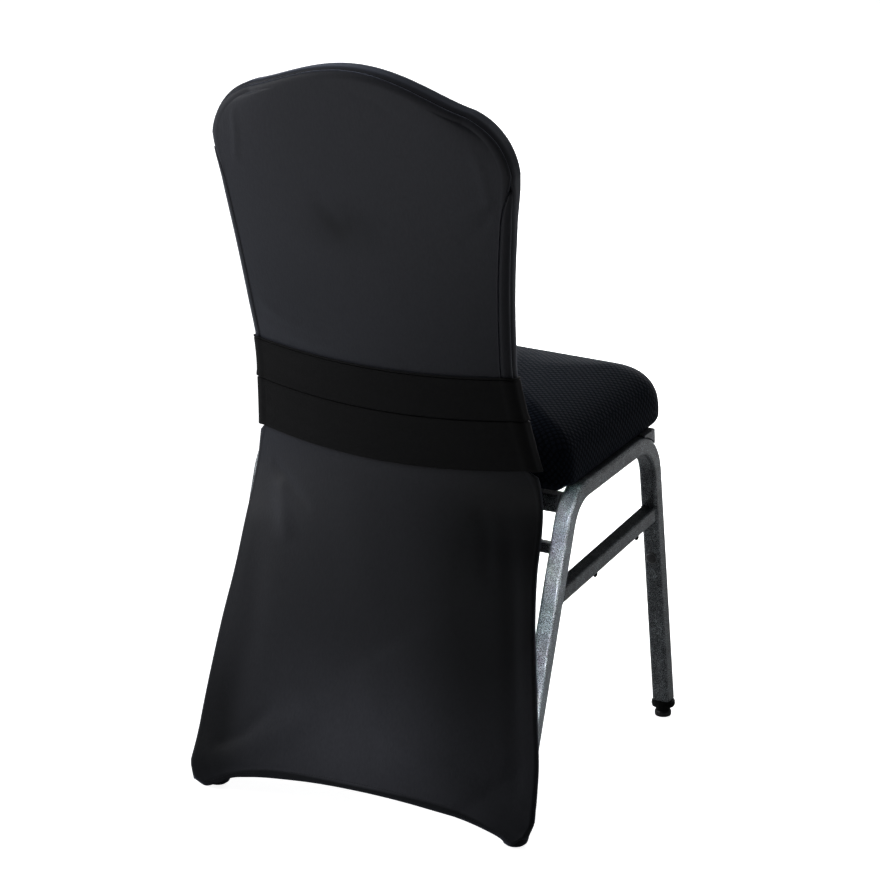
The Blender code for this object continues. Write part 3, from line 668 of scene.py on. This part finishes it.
def build_back_panel():
    edges = side_edges(0.0, curtain_rows=74)
    shares = fine_shares(91)
    rows = [[flat_point(edges, edge, share, True) for share in shares] for edge in edges]
    bm, grid = sheet_with_edge(rows, boundary(edges, shares, True), 0.0, back_seam, 0.02, 9)
    face_along(bm, (0, 1, 0))
    lift = np.array([hem_height(share) for share in shares] * len(edges))
    above = np.array([vert.co.z for row in grid for vert in row]) - lift
    hem = HEM_RAISE * (1 - smooth(HEM_DEEP - 0.001, HEM_DEEP + 0.001, above))
    hem -= HEM_GROOVE * np.exp(-(((above - HEM_DEEP - 0.0006) / 0.0012) ** 2))
    fold_sheet(bm, grid, shares, CURTAIN_FOLDS + HOOD_FOLDS, 0.90, hem)
    bm.normal_update()
    for j in range(2, len(shares) - 2):
        vert = grid[int(np.argmin(np.abs(above[j :: len(shares)] - HEM_DEEP + 0.0022)))][j]
        hem_line.append((vert.co + 0.0002 * vert.normal, vert.normal.copy()))
    add_sheet("cover_back", bm, "painted_light_knit", "back_panel")


def build_front_panel():
    edges = side_edges(HOOD_BOTTOM)
    shares = fine_shares(81)
    rows = [[front_point(edges, edge, share, 0.0) for share in shares] for edge in edges]
    bm, grid = sheet_with_edge(rows, boundary(edges, shares, False), 3.0, front_seam, -0.02, 16)
    face_along(bm, (0, -1, 0))
    fold_sheet(bm, grid, shares, FRONT_FOLDS, 0.88)
    add_sheet("cover_front", bm, "cover_knit", "front_panel")


def build_gusset(name, side):
    edges = side_edges(HOOD_BOTTOM)
    rings = []
    for edge in edges:
        if edge.z > GUSSET_TOP:
            break
        base = flat_point(edges, edge, side, False)
        normal = edge.normal * np.array((side, 1.0, 1.0))
        first = back_seam(edge.z) + 0.035
        last = front_seam(edge.z) - 0.035
        ring = []
        for i, at in enumerate([first] + arc_places(first, last, edge, GUSSET_STEPS)):
            inset = GUSSET_SINK * max(0.0, 1 - min(i, GUSSET_STEPS - i) / 2)
            ring.append(edge_point(base, normal, edge, at, inset))
        rings.append(ring)
    bm = face_along(grid_mesh(rings), (side, 0.3, 0))
    add_sheet("cover_" + name, bm, "cover_knit", name)


def sash_loop(height, out, shares):
    side_z = height + SASH_RISE * half_width(height) ** 2
    edge = Edge(half_width(side_z), side_z, 1.0, 0.0)
    back = []
    for share in shares:
        x = share * edge.inner_x
        z = height + SASH_RISE * x * x
        ripple = sash_ripple(x, z, out)
        back.append(np.array((x, back_depth(x, z), z)) - (out + ripple) * forwards(z))

    def level_with_side(x):
        return np.array((x, back_depth(x, side_z), side_z))

    ends = {}
    for side in (-1.0, 1.0):
        base = level_with_side(side * edge.inner_x)
        normal = np.array((side, 0.0, 0.0))
        turns = np.linspace(0.0, 3.0, 25)[1:-1]
        ends[side] = [edge_point(base, normal, edge, at, -out) for at in turns]
    front = []
    for share in shares:
        x = share * edge.inner_x
        point = level_with_side(x)
        ripple = sash_ripple(x + 0.3, side_z, out)
        front.append(point + (edge.depth + fullness(share, side_z) + out + ripple) * forwards(side_z))
    return back + ends[1.0] + list(reversed(front)) + list(reversed(ends[-1.0]))


def sash_ripple(x, z, out):
    """Long shallow tension ripples round the outside of the band."""
    if out <= 0.002:
        return 0.0
    height = z - SASH_RISE * min(abs(x), 0.17) ** 2
    along = math.sin(21.0 * x + 0.6) + 0.6 * math.sin(47.0 * x + 2.0)
    return 0.00022 * along * math.sin(260.0 * height + 3.0 * x)


def build_sash():
    shares = fine_shares(61)
    profile = finer(SASH_PROFILE, lambda move: round(abs(move[0]) / SASH_STEP))
    rings = [sash_loop(height, out, shares) for height, out in profile]
    bm = face_outwards(grid_mesh(rings, wrap=True, wrap_rows=True))
    add_piece("sash_band", bm, "sash_knit", ["sash"])


def leg_depth(z):
    return -REAR_LEAN * max(z, LEG_END_Z)


def build_pocket(name, side):
    """A cup of cloth round a rear foot, with small gathers where it is sewn to the curtain."""
    radius_at = column(POCKET_ROWS, 1)
    stretch_at = column(POCKET_ROWS, 2)
    turns = circle(POCKET_STEPS)
    x = side * FRAME_X
    rings = []
    for share in (0.02, 0.35, 0.7, 0.9):
        size = (radius_at(0.0) - POCKET_ROUND) * share
        rings.append([(x + size * math.cos(a), leg_depth(0.0) + size * math.sin(a), 0.0) for a in turns])
    for z in np.linspace(0.0, POCKET_TOP, 26):
        size = radius_at(z) - POCKET_ROUND * (1 - smooth(0.0, 0.004, z)) - POCKET_GATHER
        ring = []
        for angle in turns:
            gather = POCKET_GATHER * math.sin(9 * angle + 40 * z) * smooth(0.006, 0.03, z)
            ahead = (size + gather) * math.sin(angle)
            ahead *= stretch_at(z) if ahead < 0 else 1.0
            ring.append((x + (size + gather) * math.cos(angle), leg_depth(z) + ahead, z))
        rings.append(ring)
    bm = grid_mesh(rings, wrap=True)
    bm.faces.new(list(bm.verts)[:POCKET_STEPS])
    add_sheet("cover_" + name, face_outwards(bm), "painted_light_knit", name, POCKET_SHEET)


def build_core():
    """The padded back inside the cover, seen only from below."""
    edges = side_edges(CORE_BOTTOM, 0, 24, 8)
    edges = [Edge(half_width(CORE_ROW), CORE_ROW, 1.0, 0.0)] + [e for e in edges if e.z > CORE_ROW + 0.004]
    shares = fine_shares(41)
    inset = CORE_INSET + 0.0003
    bm = bmesh.new()
    rows = [[flat_point(edges, edge, share, False) for share in shares] for edge in edges]
    back = add_grid(bm, [[point + inset * forwards(point[2]) for point in row] for row in rows])
    front = add_grid(bm, [[front_point(edges, edge, share, inset) for share in shares] for edge in edges])
    rims = [rim_of(back)]
    placed = boundary(edges, shares, False)
    for at in (0.25, 0.5, 0.75, 1.0, 1.5, 2.0, 2.25, 2.5, 2.75):
        rim = [edge_point(base, normal, edge, at, inset) for edge, base, normal in placed]
        rims.append([bm.verts.new(point) for point in rim])
    rims.append(rim_of(front))
    join_rows(bm, rims)
    start = [rim[0] for rim in rims[1:-1]]
    end = [rim[-1] for rim in rims[1:-1]]
    bm.faces.new(back[0][::-1] + start + front[0] + end[::-1])
    for vert in back[0] + front[0] + start + end:
        vert.co.y += CORE_SLOPE * (CORE_BOTTOM - vert.co.z)
        vert.co.z = CORE_BOTTOM
    add_piece("backrest_pad", face_outwards(bm), "backrest_lining", ["backrest_core"])


# The seat


def seat_outline(inset):
    """A rounded rectangle set in from the seat's outline, with as many points whatever the inset."""
    x = SEAT_HALF_WIDTH - inset
    front = SEAT_FRONT_Y + inset
    rear = SEAT_REAR_Y - inset
    front_radius = max(SEAT_FRONT_RADIUS - 0.85 * inset, 0.010)
    rear_radius = max(SEAT_REAR_RADIUS - 0.30 * inset, 0.006)
    corners = (
        (x - rear_radius, rear - rear_radius, rear_radius),
        (-x + rear_radius, rear - rear_radius, rear_radius),
        (-x + front_radius, front + front_radius, front_radius),
        (x - front_radius, front + front_radius, front_radius),
    )
    arcs = []
    for i, (cx, cy, radius) in enumerate(corners):
        turns = np.radians(90.0 * i + np.linspace(0.0, 90.0, 13))
        arcs.append(np.stack((cx + radius * np.cos(turns), cy + radius * np.sin(turns)), axis=1))
    points = []
    for arc, following in zip(arcs, arcs[1:] + arcs[:1]):
        points += list(arc)
        points += [arc[-1] + (following[0] - arc[-1]) * step / 22 for step in range(1, 22)]
    return points


def lip_drop(y, height):
    front = smooth(SEAT_FRONT_Y + 0.030, SEAT_FRONT_Y + 0.005, y)
    rear = smooth(SEAT_REAR_Y - 0.012, SEAT_REAR_Y - 0.004, y)
    low = smooth(0.4165, 0.4145, height)
    return (SEAT_FRONT_DROP * front + SEAT_REAR_DROP * rear) * low


def seat_rings():
    """Heights and insets of the seat, in short even steps along its section."""
    runs = finer(SEAT_ROWS, lambda move: int(np.hypot(*move) / SEAT_STEP))
    for _ in range(6):
        middle = (runs[:-2] + runs[2:]) / 2
        keep = runs[1:-1, 1] < 0.42
        runs[1:-1] = np.where(keep[:, None], runs[1:-1], (runs[1:-1] + middle) / 2)
    return runs


def build_seat():
    rings = []
    for inset, height in seat_rings():
        ring = []
        for i, (x, y) in enumerate(seat_outline(inset)):
            pull = 0.0006 * math.sin(i * 0.9) * math.exp(-((height - 0.4180) / 0.006) ** 2)
            side = 0.0005 * math.sin(9.0 * x + 13.0 * y) * smooth(0.43, 0.46, height)
            ring.append((x * (1 + pull), y + pull * 0.2, height - lip_drop(y, height) + side))
        rings.append(ring)
    bm = grid_mesh(rings, wrap=True)
    bm.verts.ensure_lookup_table()
    count = len(rings[0])
    bm.faces.new(list(reversed(bm.verts[:count])))
    top = bm.verts[-count:]
    middle = sum((v.co for v in top), Vector()) / count
    centre = bm.verts.new((middle.x, middle.y, middle.z + 0.0004))
    for i in range(count):
        bm.faces.new((top[i], top[(i + 1) % count], centre))
    add_piece("seat_pad", face_outwards(bm), "seat_fabric", ["seat_cushion"])


# Small hardware and thread


def build_stitches(name, line):
    """Short raised stitches along a line of points, each with the way the cloth faces there."""
    places = np.array([tuple(place) for place, _ in line])
    facings = np.array([tuple(facing) for _, facing in line])
    walked = np.concatenate(([0.0], np.cumsum(np.linalg.norm(np.diff(places, axis=0), axis=1))))
    bm = bmesh.new()

    def at(way, values):
        return Vector([np.interp(way, walked, values[:, i]) for i in range(3)])

    for way in np.arange(STITCH_PITCH, walked[-1] - STITCH_PITCH, STITCH_PITCH):
        middle = at(way, places)
        along = (at(way + STITCH_PITCH / 4, places) - middle).normalized()
        facing = at(way, facings).normalized()
        sides = (along * STITCH_LENGTH, along.cross(facing) * STITCH_RADIUS, facing * STITCH_RADIUS)
        turn = Matrix.Translation(middle) @ Matrix(sides).transposed().to_4x4()
        bmesh.ops.create_icosphere(bm, subdivisions=1, radius=1.0, matrix=turn)
    add_piece(name, bm, "thread")


def build_tab(name, side):
    """A short bracket on the front bend of the rail, up to the edge of the seat."""
    ys = np.linspace(*TAB_Y, 9)
    centre_y = FRONT_CORNER_Y + BEND_TANGENT
    base_z = RAIL_Z - FRONT_BEND + 0.0002
    outline = [(y, base_z + math.sqrt((FRONT_BEND + TUBE / 2) ** 2 - (y - centre_y) ** 2)) for y in ys]
    outline += [(TAB_Y[1], TAB_TOP), (TAB_Y[0] + 0.002, TAB_TOP)]
    bm = bmesh.new()
    face = bm.faces.new([bm.verts.new((side * TAB_X[0], y, z)) for y, z in outline])
    grown = bmesh.ops.extrude_face_region(bm, geom=[face])
    moved = [item for item in grown["geom"] if isinstance(item, bmesh.types.BMVert)]
    bmesh.ops.translate(bm, vec=(side * (TAB_X[1] - TAB_X[0]), 0.0, 0.0), verts=moved)
    face_outwards(bm)
    bmesh.ops.bevel(
        bm, geom=list(bm.edges), offset=0.0007, segments=2, profile=0.5, affect="EDGES", clamp_overlap=True
    )
    add_piece(name, bm, "frame_paint", smooth=False)


def build_studs(name, side):
    """Two small round pads under a stretcher, where the tubes of stacked chairs would touch."""
    bm = bmesh.new()
    for y, z in STUDS:
        place = (side * (FRAME_X + STUD_OUT), y, z)
        at = Matrix.Translation(place) @ Matrix.Diagonal((0.0028, 0.0036, 0.0040, 1.0))
        bmesh.ops.create_uvsphere(bm, u_segments=20, v_segments=12, radius=1.0, matrix=at)
    add_piece(name, bm, "foot_rubber")


def front_leg_face(z):
    return FRONT_FOOT_Y + FRONT_LEAN * z + TUBE_REACH * math.hypot(1.0, FRONT_LEAN)


def rear_leg_face(z):
    return -REAR_LEAN * z - TUBE_REACH * math.hypot(1.0, REAR_LEAN)


def build_ring(name, side):
    """The thin raised rim round the plug in a front leg."""
    slope = math.atan(FRONT_LEAN)
    place = (side * FRAME_X, front_leg_face(PLUG_Z), PLUG_Z)
    at = Matrix.Translation(place) @ Matrix.Rotation(-math.pi / 2 - slope, 4, "X")
    rings = []
    for turn in circle(48):
        ring = []
        for roll in circle(10):
            reach = RING_RADIUS + RING_WIDE * math.cos(roll)
            point = (reach * math.cos(turn), reach * math.sin(turn), RING_HIGH * math.sin(roll))
            ring.append(at @ Vector(point))
        rings.append(ring)
    bm = face_outwards(grid_mesh(rings, wrap=True, wrap_rows=True))
    add_piece(name, bm, "ring_plastic")


def rounded(value):
    """Turns a circle's sine or cosine into that of a rounded square."""
    return math.copysign(min(1.0, 1.22 * abs(value) ** 0.8), value)


def build_weld(name, side):
    """Beads of weld round the two ends of a stretcher, uneven as a hand-laid bead is."""
    bm = bmesh.new()
    half = STRETCHER / 2
    turns = circle(WELD_STEPS)
    for rear, leg_face in enumerate((front_leg_face, rear_leg_face)):
        middle = STRETCHER_Z - STRETCHER_SLOPE * (STRETCHER_ENDS[rear] - STRETCHER_MIDDLE_Y)
        ring = []
        for turn in turns:
            z = middle + half * rounded(math.sin(turn))
            ring.append(Vector((side * FRAME_X + half * rounded(math.cos(turn)), leg_face(z), z)))
        loops = []
        for i, point in enumerate(ring):
            along = (ring[(i + 1) % WELD_STEPS] - ring[i - 1]).normalized()
            out = (point - Vector((side * FRAME_X, point.y, middle))).normalized()
            over = along.cross(out).normalized()
            bead = WELD_BEAD + WELD_UNEVEN * math.sin(9.0 * turns[i] + 3.0 * rear)
            loops.append([point + bead * (math.cos(a) * out + math.sin(a) * over) for a in circle(8)])
        add_grid(bm, loops, wrap=True, wrap_rows=True)
    add_piece(name, face_outwards(bm), "frame_paint")


# Materials


class Shader:
    """A Principled material and short calls that add and link its nodes."""

    def __init__(self, name, **settings):
        self.made = bpy.data.materials.new("look_" + name)
        self.made.use_nodes = True
        self.tree = self.made.node_tree
        self.principled = self.tree.nodes["Principled BSDF"]
        for key, value in settings.items():
            self.principled.inputs[key.replace("_", " ")].default_value = value
        self.at = self.node("TexCoord").outputs["Object"]
        self.x, self.y, self.z = self.split(self.at)

    def node(self, kind, inputs=None, **attributes):
        made = self.tree.nodes.new("ShaderNode" + kind)
        for key, value in attributes.items():
            setattr(made, key, value)
        for key, value in (inputs or {}).items():
            if isinstance(value, bpy.types.NodeSocket):
                self.tree.links.new(value, made.inputs[key])
            else:
                made.inputs[key].default_value = value
        return made

    def math(self, operation, a, b=0.0, c=0.0):
        return self.node("Math", {0: a, 1: b, 2: c}, operation=operation).outputs[0]

    def times(self, a, b):
        return self.math("MULTIPLY", a, b)

    def times_plus(self, a, b, c):
        return self.math("MULTIPLY_ADD", a, b, c)

    def plus(self, a, b):
        return self.math("ADD", a, b)

    def noise(self, scale, detail=2.0, roughness=0.5, at=None):
        inputs = {"Vector": at or self.at, "Scale": scale, "Detail": detail, "Roughness": roughness}
        return self.node("TexNoise", inputs).outputs["Fac"]

    def ramp(self, value, stops):
        made = self.node("ValToRGB", {"Fac": value})
        elements = made.color_ramp.elements
        while len(elements) < len(stops):
            elements.new(0.5)
        for element, (at, colour) in zip(elements, stops):
            element.position = at
            element.color = (*colour, 1.0)
        return made.outputs["Color"]

    def level(self, value, low, high, to_low, to_high):
        inputs = {"Value": value, "From Min": low, "From Max": high, "To Min": to_low, "To Max": to_high}
        return self.node("MapRange", inputs).outputs["Result"]

    def scaled(self, scale):
        return self.node("Mapping", {"Vector": self.at, "Scale": scale}).outputs["Vector"]

    def bump(self, heights):
        """Chains bumps, each a height, a strength and a distance."""
        normal = None
        for height, strength, distance in heights:
            inputs = {"Height": height, "Strength": strength, "Distance": distance}
            if normal is not None:
                inputs["Normal"] = normal
            normal = self.node("Bump", inputs).outputs["Normal"]
        self.set("Normal", normal)

    def paint(self, value, *stops):
        self.set("Base Color", self.ramp(value, stops))

    def roughen(self, *span):
        self.set("Roughness", self.level(*span))

    def set(self, name, socket):
        self.tree.links.new(socket, self.principled.inputs[name])

    def split(self, at):
        made = self.node("SeparateXYZ", {"Vector": at})
        return made.outputs["X"], made.outputs["Y"], made.outputs["Z"]

    def wave(self, value, period):
        """A smooth wave of a length, from 0 to 1."""
        turned = self.times(value, 2 * math.pi / period)
        return self.times_plus(self.math("SINE", turned), 0.5, 0.5)


def knit(name, colour, tint, roughness, specular, sheen, sheen_tint, strength, painted_patches=()):
    """A smooth stretch knit: fine columns of stitches, faint rows, soft random patches, and, where patches
    are given, painted highlights and painted shade, with a darker hem strip.
    """
    look = Shader(
        name,
        Roughness=roughness,
        Specular_IOR_Level=specular,
        Sheen_Weight=sheen,
        Sheen_Roughness=0.45,
        Sheen_Tint=(*sheen_tint, 1.0),
    )
    x, y, z = look.x, look.y, look.z
    drift = look.noise(9.0, 3.0)
    columns = look.wave(look.plus(x, look.times(drift, 0.004)), 0.0011)
    rows = look.wave(look.plus(z, look.times(y, 0.5)), 0.0014)
    stitches = look.times(columns, rows)
    patches = look.noise(5.5, 4.0, 0.6)
    fine = look.noise(1.0, at=look.scaled((420.0, 420.0, 160.0)))
    mixed = look.times_plus(fine, 0.35, look.times(patches, 0.65))
    shade = look.ramp(mixed, ((0.30, colour), (0.70, tint)))
    # Painted light: broad patches scale the colour up as painted highlights and down as painted shade, and
    # the colour is made darker along the hem strip.
    if painted_patches:
        painted_light = 1.0
        for across, height, wide, high, gain in painted_patches:
            aside = look.times_plus(x, 1 / wide, -across / wide)
            above = look.times_plus(z, 1 / high, -height / high)
            square = look.plus(look.math("POWER", aside, 2.0), look.math("POWER", above, 2.0))
            near = look.math("POWER", math.e, look.times(square, -1.0))
            painted_light = look.times_plus(near, gain, painted_light)
        above_hem = look.times_plus(look.math("POWER", x, 4.0), HEM_ARCH, z)
        darker_hem = look.level(above_hem, HEM_MIDDLE + 0.0045, HEM_MIDDLE + 0.0075, 0.10, 1.0)
        painted_light = look.math("MAXIMUM", look.times(painted_light, darker_hem), 0.06)
        shade = look.node("VectorMath", {0: shade, "Scale": painted_light}, operation="SCALE").outputs[0]
    look.set("Base Color", shade)
    look.roughen(patches, 0.3, 0.7, roughness - 0.03, roughness + 0.04)
    look.bump(((patches, 0.10, 0.004), (fine, strength, 0.0006), (stitches, strength * 0.6, 0.0003)))
    return look.made


def hammered(name, colour, vein, roughness):
    """Dark powder paint with a silvery vein, pooled in small cells."""
    look = Shader(name, Specular_IOR_Level=0.35, Coat_Weight=0.05, Coat_Roughness=0.2)
    wander = look.node("TexNoise", {"Vector": look.at, "Scale": 400.0, "Detail": 2.0}).outputs["Color"]
    pushed = look.node("VectorMath", {0: wander, "Scale": 0.0024}, operation="SCALE").outputs[0]
    bent = look.node("VectorMath", {0: look.at, 1: pushed}, operation="ADD").outputs[0]
    grid = look.node("TexVoronoi", {"Vector": bent, "Scale": 540.0}, feature="DISTANCE_TO_EDGE")
    cells = grid.outputs["Distance"]
    patches = look.noise(60.0, 3.0)
    veins = look.level(cells, 0.0, 0.16, 1.0, 0.0)
    strong = look.times(veins, look.level(patches, 0.35, 0.65, 0.65, 1.0))
    look.paint(strong, (0.15, colour), (0.85, vein))
    look.set("Metallic", look.level(strong, 0.2, 0.7, 0.1, 1.0))
    look.roughen(cells, 0.0, 0.25, roughness + 0.18, roughness)
    look.bump(((cells, 0.45, 0.0005), (patches, 0.08, 0.001)))
    return look.made


def seat_weave(name):
    """A dark woven upholstery with small raised lozenges in staggered rows."""
    look = Shader(
        name,
        Roughness=0.85,
        Specular_IOR_Level=0.08,
        Sheen_Weight=0.05,
        Sheen_Roughness=0.5,
        Sheen_Tint=(0.55, 0.70, 0.95, 1.0),
    )
    x, y, z = look.x, look.y, look.z
    facing = look.node("NewGeometry").outputs["Normal"]
    side_x, side_y, up = look.split(facing)
    steep = look.math("LESS_THAN", look.math("ABSOLUTE", up), 0.6)
    flat = look.math("SUBTRACT", 1.0, steep)
    corner = look.math("GREATER_THAN", look.times(side_x, side_y), 0.05)
    round_it = look.times_plus(x, look.times_plus(corner, -2.0, 1.0), y)
    across = look.times_plus(round_it, steep, look.times(x, flat))
    along = look.times_plus(z, steep, look.times(y, flat))
    wobble = look.noise(110.0, 3.0)
    u = look.plus(look.math("DIVIDE", across, WEAVE_WIDE), look.times(wobble, 0.34))
    v = look.plus(look.math("DIVIDE", along, WEAVE_LONG), look.times(wobble, -0.30))
    first = look.math("PINGPONG", look.plus(u, v), 0.5)
    second = look.math("PINGPONG", look.math("SUBTRACT", u, v), 0.5)
    lozenge = look.times(first, second)
    raised = look.level(lozenge, 0.015, 0.11, 0.0, 1.0)
    threads = look.wave(look.plus(x, y), 0.0011)
    crossed = look.wave(look.math("SUBTRACT", x, y), 0.0011)
    thread = look.times(threads, crossed)
    speckle = look.noise(700.0, 2.0)
    pebbles = look.noise(290.0, 2.0)
    grain = look.times_plus(pebbles, 0.55, look.times(speckle, 0.45))
    shade = look.times_plus(grain, 0.65, look.times(raised, 0.35))
    look.paint(shade, (0.22, SEAT_DARK), (0.72, SEAT_LIGHT))
    look.roughen(raised, 0.0, 1.0, 0.95, 0.72)
    fuzz = ((pebbles, 0.5, 0.0008), (speckle, 0.4, 0.0005))
    look.bump(((raised, 0.55, 0.0009), (thread, 0.35, 0.0003), *fuzz))
    return look.made


def plain_weave(name, colour, roughness):
    look = Shader(name, Roughness=roughness, Specular_IOR_Level=0.2)
    cloth = look.times(look.wave(look.plus(look.y, look.z), 0.0012), look.wave(look.x, 0.0012))
    worn = look.noise(35.0, 4.0)
    lighter = tuple(c * 1.7 for c in colour)
    look.paint(worn, (0.3, colour), (0.7, lighter))
    look.bump(((cloth, 0.4, 0.0004), (worn, 0.1, 0.001)))
    return look.made


def board(name, colour):
    look = Shader(name, Specular_IOR_Level=0.3)
    grain = look.noise(1.0, 5.0, 0.6, look.scaled((9.0, 160.0, 160.0)))
    lighter = tuple(c * 2.0 for c in colour)
    look.paint(grain, (0.3, colour), (0.75, lighter))
    look.roughen(grain, 0.3, 0.7, 0.7, 0.9)
    look.bump(((grain, 0.3, 0.0006),))
    return look.made


def moulded(name, colour, roughness, scale, specular=0.35):
    """Moulded rubber or plastic, a little scuffed."""
    look = Shader(name, Specular_IOR_Level=specular)
    scuffs = look.noise(scale, 5.0, 0.65, look.scaled((1.0, 1.0, 0.4)))
    lighter = tuple(c * 2.2 for c in colour)
    look.paint(scuffs, (0.35, colour), (0.8, lighter))
    look.roughen(scuffs, 0.3, 0.8, roughness - 0.06, roughness + 0.12)
    look.bump(((scuffs, 0.15, 0.0004),))
    return look.made


# Two colours, roughness, specular level, sheen and its tint, and how deep the stitches are
SASH = ((0.0040, 0.0040, 0.0041), (0.0056, 0.0056, 0.0057), 0.78, 0.10, 0.05, (0.9, 0.9, 1.0), 0.30)
COVER = ((0.0190, 0.0191, 0.0222), (0.0278, 0.0279, 0.0322), 0.50, 0.12, 0.32, (0.70, 0.78, 1.0), 0.22)
looks = (
    knit("cover_knit", *COVER),
    # The back panel and the foot pockets take this copy of the knit, with painted highlights and painted
    # shade in its colour.
    knit("painted_light_knit", *COVER, PAINTED_LIGHT_FIELD),
    knit("sash_knit", *SASH),
    plain_weave("backrest_lining", (0.012, 0.012, 0.013), 0.9),
    seat_weave("seat_fabric"),
    board("seat_board", (0.010, 0.0095, 0.009)),
    hammered("frame_paint", (0.006, 0.0065, 0.007), (0.32, 0.35, 0.37), 0.30),
    moulded("foot_rubber", (0.004, 0.004, 0.004), 0.62, 90.0, 0.10),
    moulded("glide_plastic", (0.008, 0.008, 0.0085), 0.40, 120.0),
    moulded("plug_plastic", (0.060, 0.062, 0.064), 0.42, 150.0),
    moulded("ring_plastic", (0.240, 0.245, 0.250), 0.35, 120.0, 0.5),
    plain_weave("thread", (0.010, 0.010, 0.011), 0.7),
)
materials = {look.name.removeprefix("look_"): look for look in looks}
slot_of = {row["node"]: row["material_slot"] for row in frame["record"]["subparts"]}
for name, node in frame["nodes"].items():
    node.data.materials.clear()
    node.data.materials.append(materials[slot_of[name]])


# Make the pieces

build_back_panel()
build_front_panel()
build_sash()
build_core()
build_seat()
for side_name, side in (("left", 1.0), ("right", -1.0)):
    build_gusset("gusset_" + side_name, side)
    build_pocket("foot_pocket_" + side_name, side)
    build_tab("seat_tab_" + side_name, side)
    build_studs("stretcher_studs_" + side_name, side)
    build_ring("plug_ring_" + side_name, side)
    build_weld("stretcher_weld_" + side_name, side)
build_stitches("hem_thread", hem_line)


# Floor, light and camera


def floor_material():
    """Pale floor that glows, to the camera as an even white and to other rays as a painted lit sweep, with
    its glow painted dark, as a painted shadow, where the chair stands over it.
    """
    look = Shader("floor", Roughness=0.22, Specular_IOR_Level=0.5)
    cloud = look.noise(0.8, 2.0)
    look.paint(cloud, (0.3, (0.90, 0.90, 0.905)), (0.7, (0.93, 0.93, 0.93)))
    look.principled.inputs["Emission Color"].default_value = (1.0, 1.0, 1.0, 1.0)
    # Painted light for rays other than the camera's: the glow is dark across the band where the chair
    # stands, as a painted shadow, and bright as a sweep behind it and more faintly ahead of it.
    sweep = look.level(look.y, FLOOR_SHADE[0], FLOOR_SHADE[1], FLOOR_SHADE[2], FLOOR_SWEEP)
    ahead = look.level(look.y, FLOOR_AHEAD[0], FLOOR_AHEAD[1], 0.0, FLOOR_AHEAD[2])
    sweep = look.plus(sweep, ahead)
    seen = look.node("LightPath").outputs["Is Camera Ray"]
    mixed = look.node("Mix", {"Factor": seen, "A": sweep, "B": FLOOR_GLOW}).outputs["Result"]
    look.set("Emission Strength", mixed)
    return look.made


def build_floor():
    bm = bmesh.new()
    bmesh.ops.create_grid(bm, x_segments=8, y_segments=8, size=FLOOR_SIZE)
    obj = add_mesh("floor", bm, floor_material())
    obj.location.z = -0.0002
    obj.visible_diffuse = False


def build_light(name, place, target, size, power, colour):
    data = bpy.data.lights.new(name, "AREA")
    data.energy = power
    data.color = colour
    data.shape = "RECTANGLE"
    data.size, data.size_y = size
    obj = add_object(name, data)
    obj.location = place
    towards = Vector(target) - Vector(place)
    obj.rotation_euler = towards.to_track_quat("-Z", "Y").to_euler()
    return obj


def build_beam(light, receivers):
    """A narrow upright beam for the painted tubes alone, as a flagged lamp gives in a studio."""
    obj = build_light(*light)
    obj.data.spread = math.radians(TUBE_SPREAD)
    aim = (Vector(light[2]) - Vector(light[1])).normalized()
    leg = Vector((0.0, -REAR_LEAN, 1.0)).normalized()
    tall = (leg - leg.dot(aim) * aim).normalized()
    turn = Matrix((tall.cross(-aim), tall, -aim)).transposed()
    obj.rotation_euler = turn.to_euler()
    obj.light_linking.receiver_collection = receivers


def collection_of(name, start, state):
    """The left and right nodes of a name, taken in or left out by a light."""
    made = bpy.data.collections.new(name)
    for side_name in ("left", "right"):
        made.objects.link(frame["nodes"][start + side_name])
    for member in made.collection_objects:
        member.light_linking.link_state = state
    return made


def build_world():
    world = bpy.data.worlds.new("studio")
    bpy.context.scene.world = world
    world.use_nodes = True
    tree = world.node_tree
    backdrop = tree.nodes["Background"]
    room = tree.nodes.new("ShaderNodeBackground")
    for node, colour, strength in ((backdrop, (1.0, 1.0, 1.0), 1.0), (room, ROOM_COLOUR, ROOM_LIGHT)):
        node.inputs["Color"].default_value = (*colour, 1.0)
        node.inputs["Strength"].default_value = strength
    path = tree.nodes.new("ShaderNodeLightPath")
    mix = tree.nodes.new("ShaderNodeMixShader")
    tree.links.new(path.outputs["Is Camera Ray"], mix.inputs[0])
    tree.links.new(room.outputs[0], mix.inputs[1])
    tree.links.new(backdrop.outputs[0], mix.inputs[2])
    tree.links.new(mix.outputs[0], tree.nodes["World Output"].inputs["Surface"])


def build_camera():
    azimuth = math.radians(CAMERA_AZIMUTH)
    elevation = math.radians(CAMERA_ELEVATION)
    back = Vector((math.sin(azimuth), -math.cos(azimuth), math.tan(elevation))).normalized()
    level = Vector((math.cos(azimuth), math.sin(azimuth), 0.0))
    eye = Vector((0.0, SHIFT - 0.2, CAMERA_AIM_Z)) + level * CAMERA_AIM_X + back * CAMERA_DISTANCE
    data = bpy.data.cameras.new("camera")
    data.sensor_width = 36.0
    data.lens = CAMERA_LENS
    data.clip_end = 100.0
    obj = add_object("camera", data)
    turn = Matrix((level, back.cross(level), back)).transposed().to_4x4()
    roll = Matrix.Rotation(math.radians(CAMERA_ROLL), 4, "Z")
    obj.matrix_world = Matrix.Translation(eye) @ turn @ roll
    bpy.context.scene.camera = obj


build_floor()
build_world()
lamps = {light[0]: build_light(*light) for light in LIGHTS}
lamps["front"].light_linking.receiver_collection = collection_of("bars", "stretcher_", "EXCLUDE")
build_beam(TUBE_LIGHT, collection_of("legs", "side_frame_", "INCLUDE"))
build_camera()
view = bpy.context.scene.view_settings
view.view_transform = "Standard"
view.look = "None"
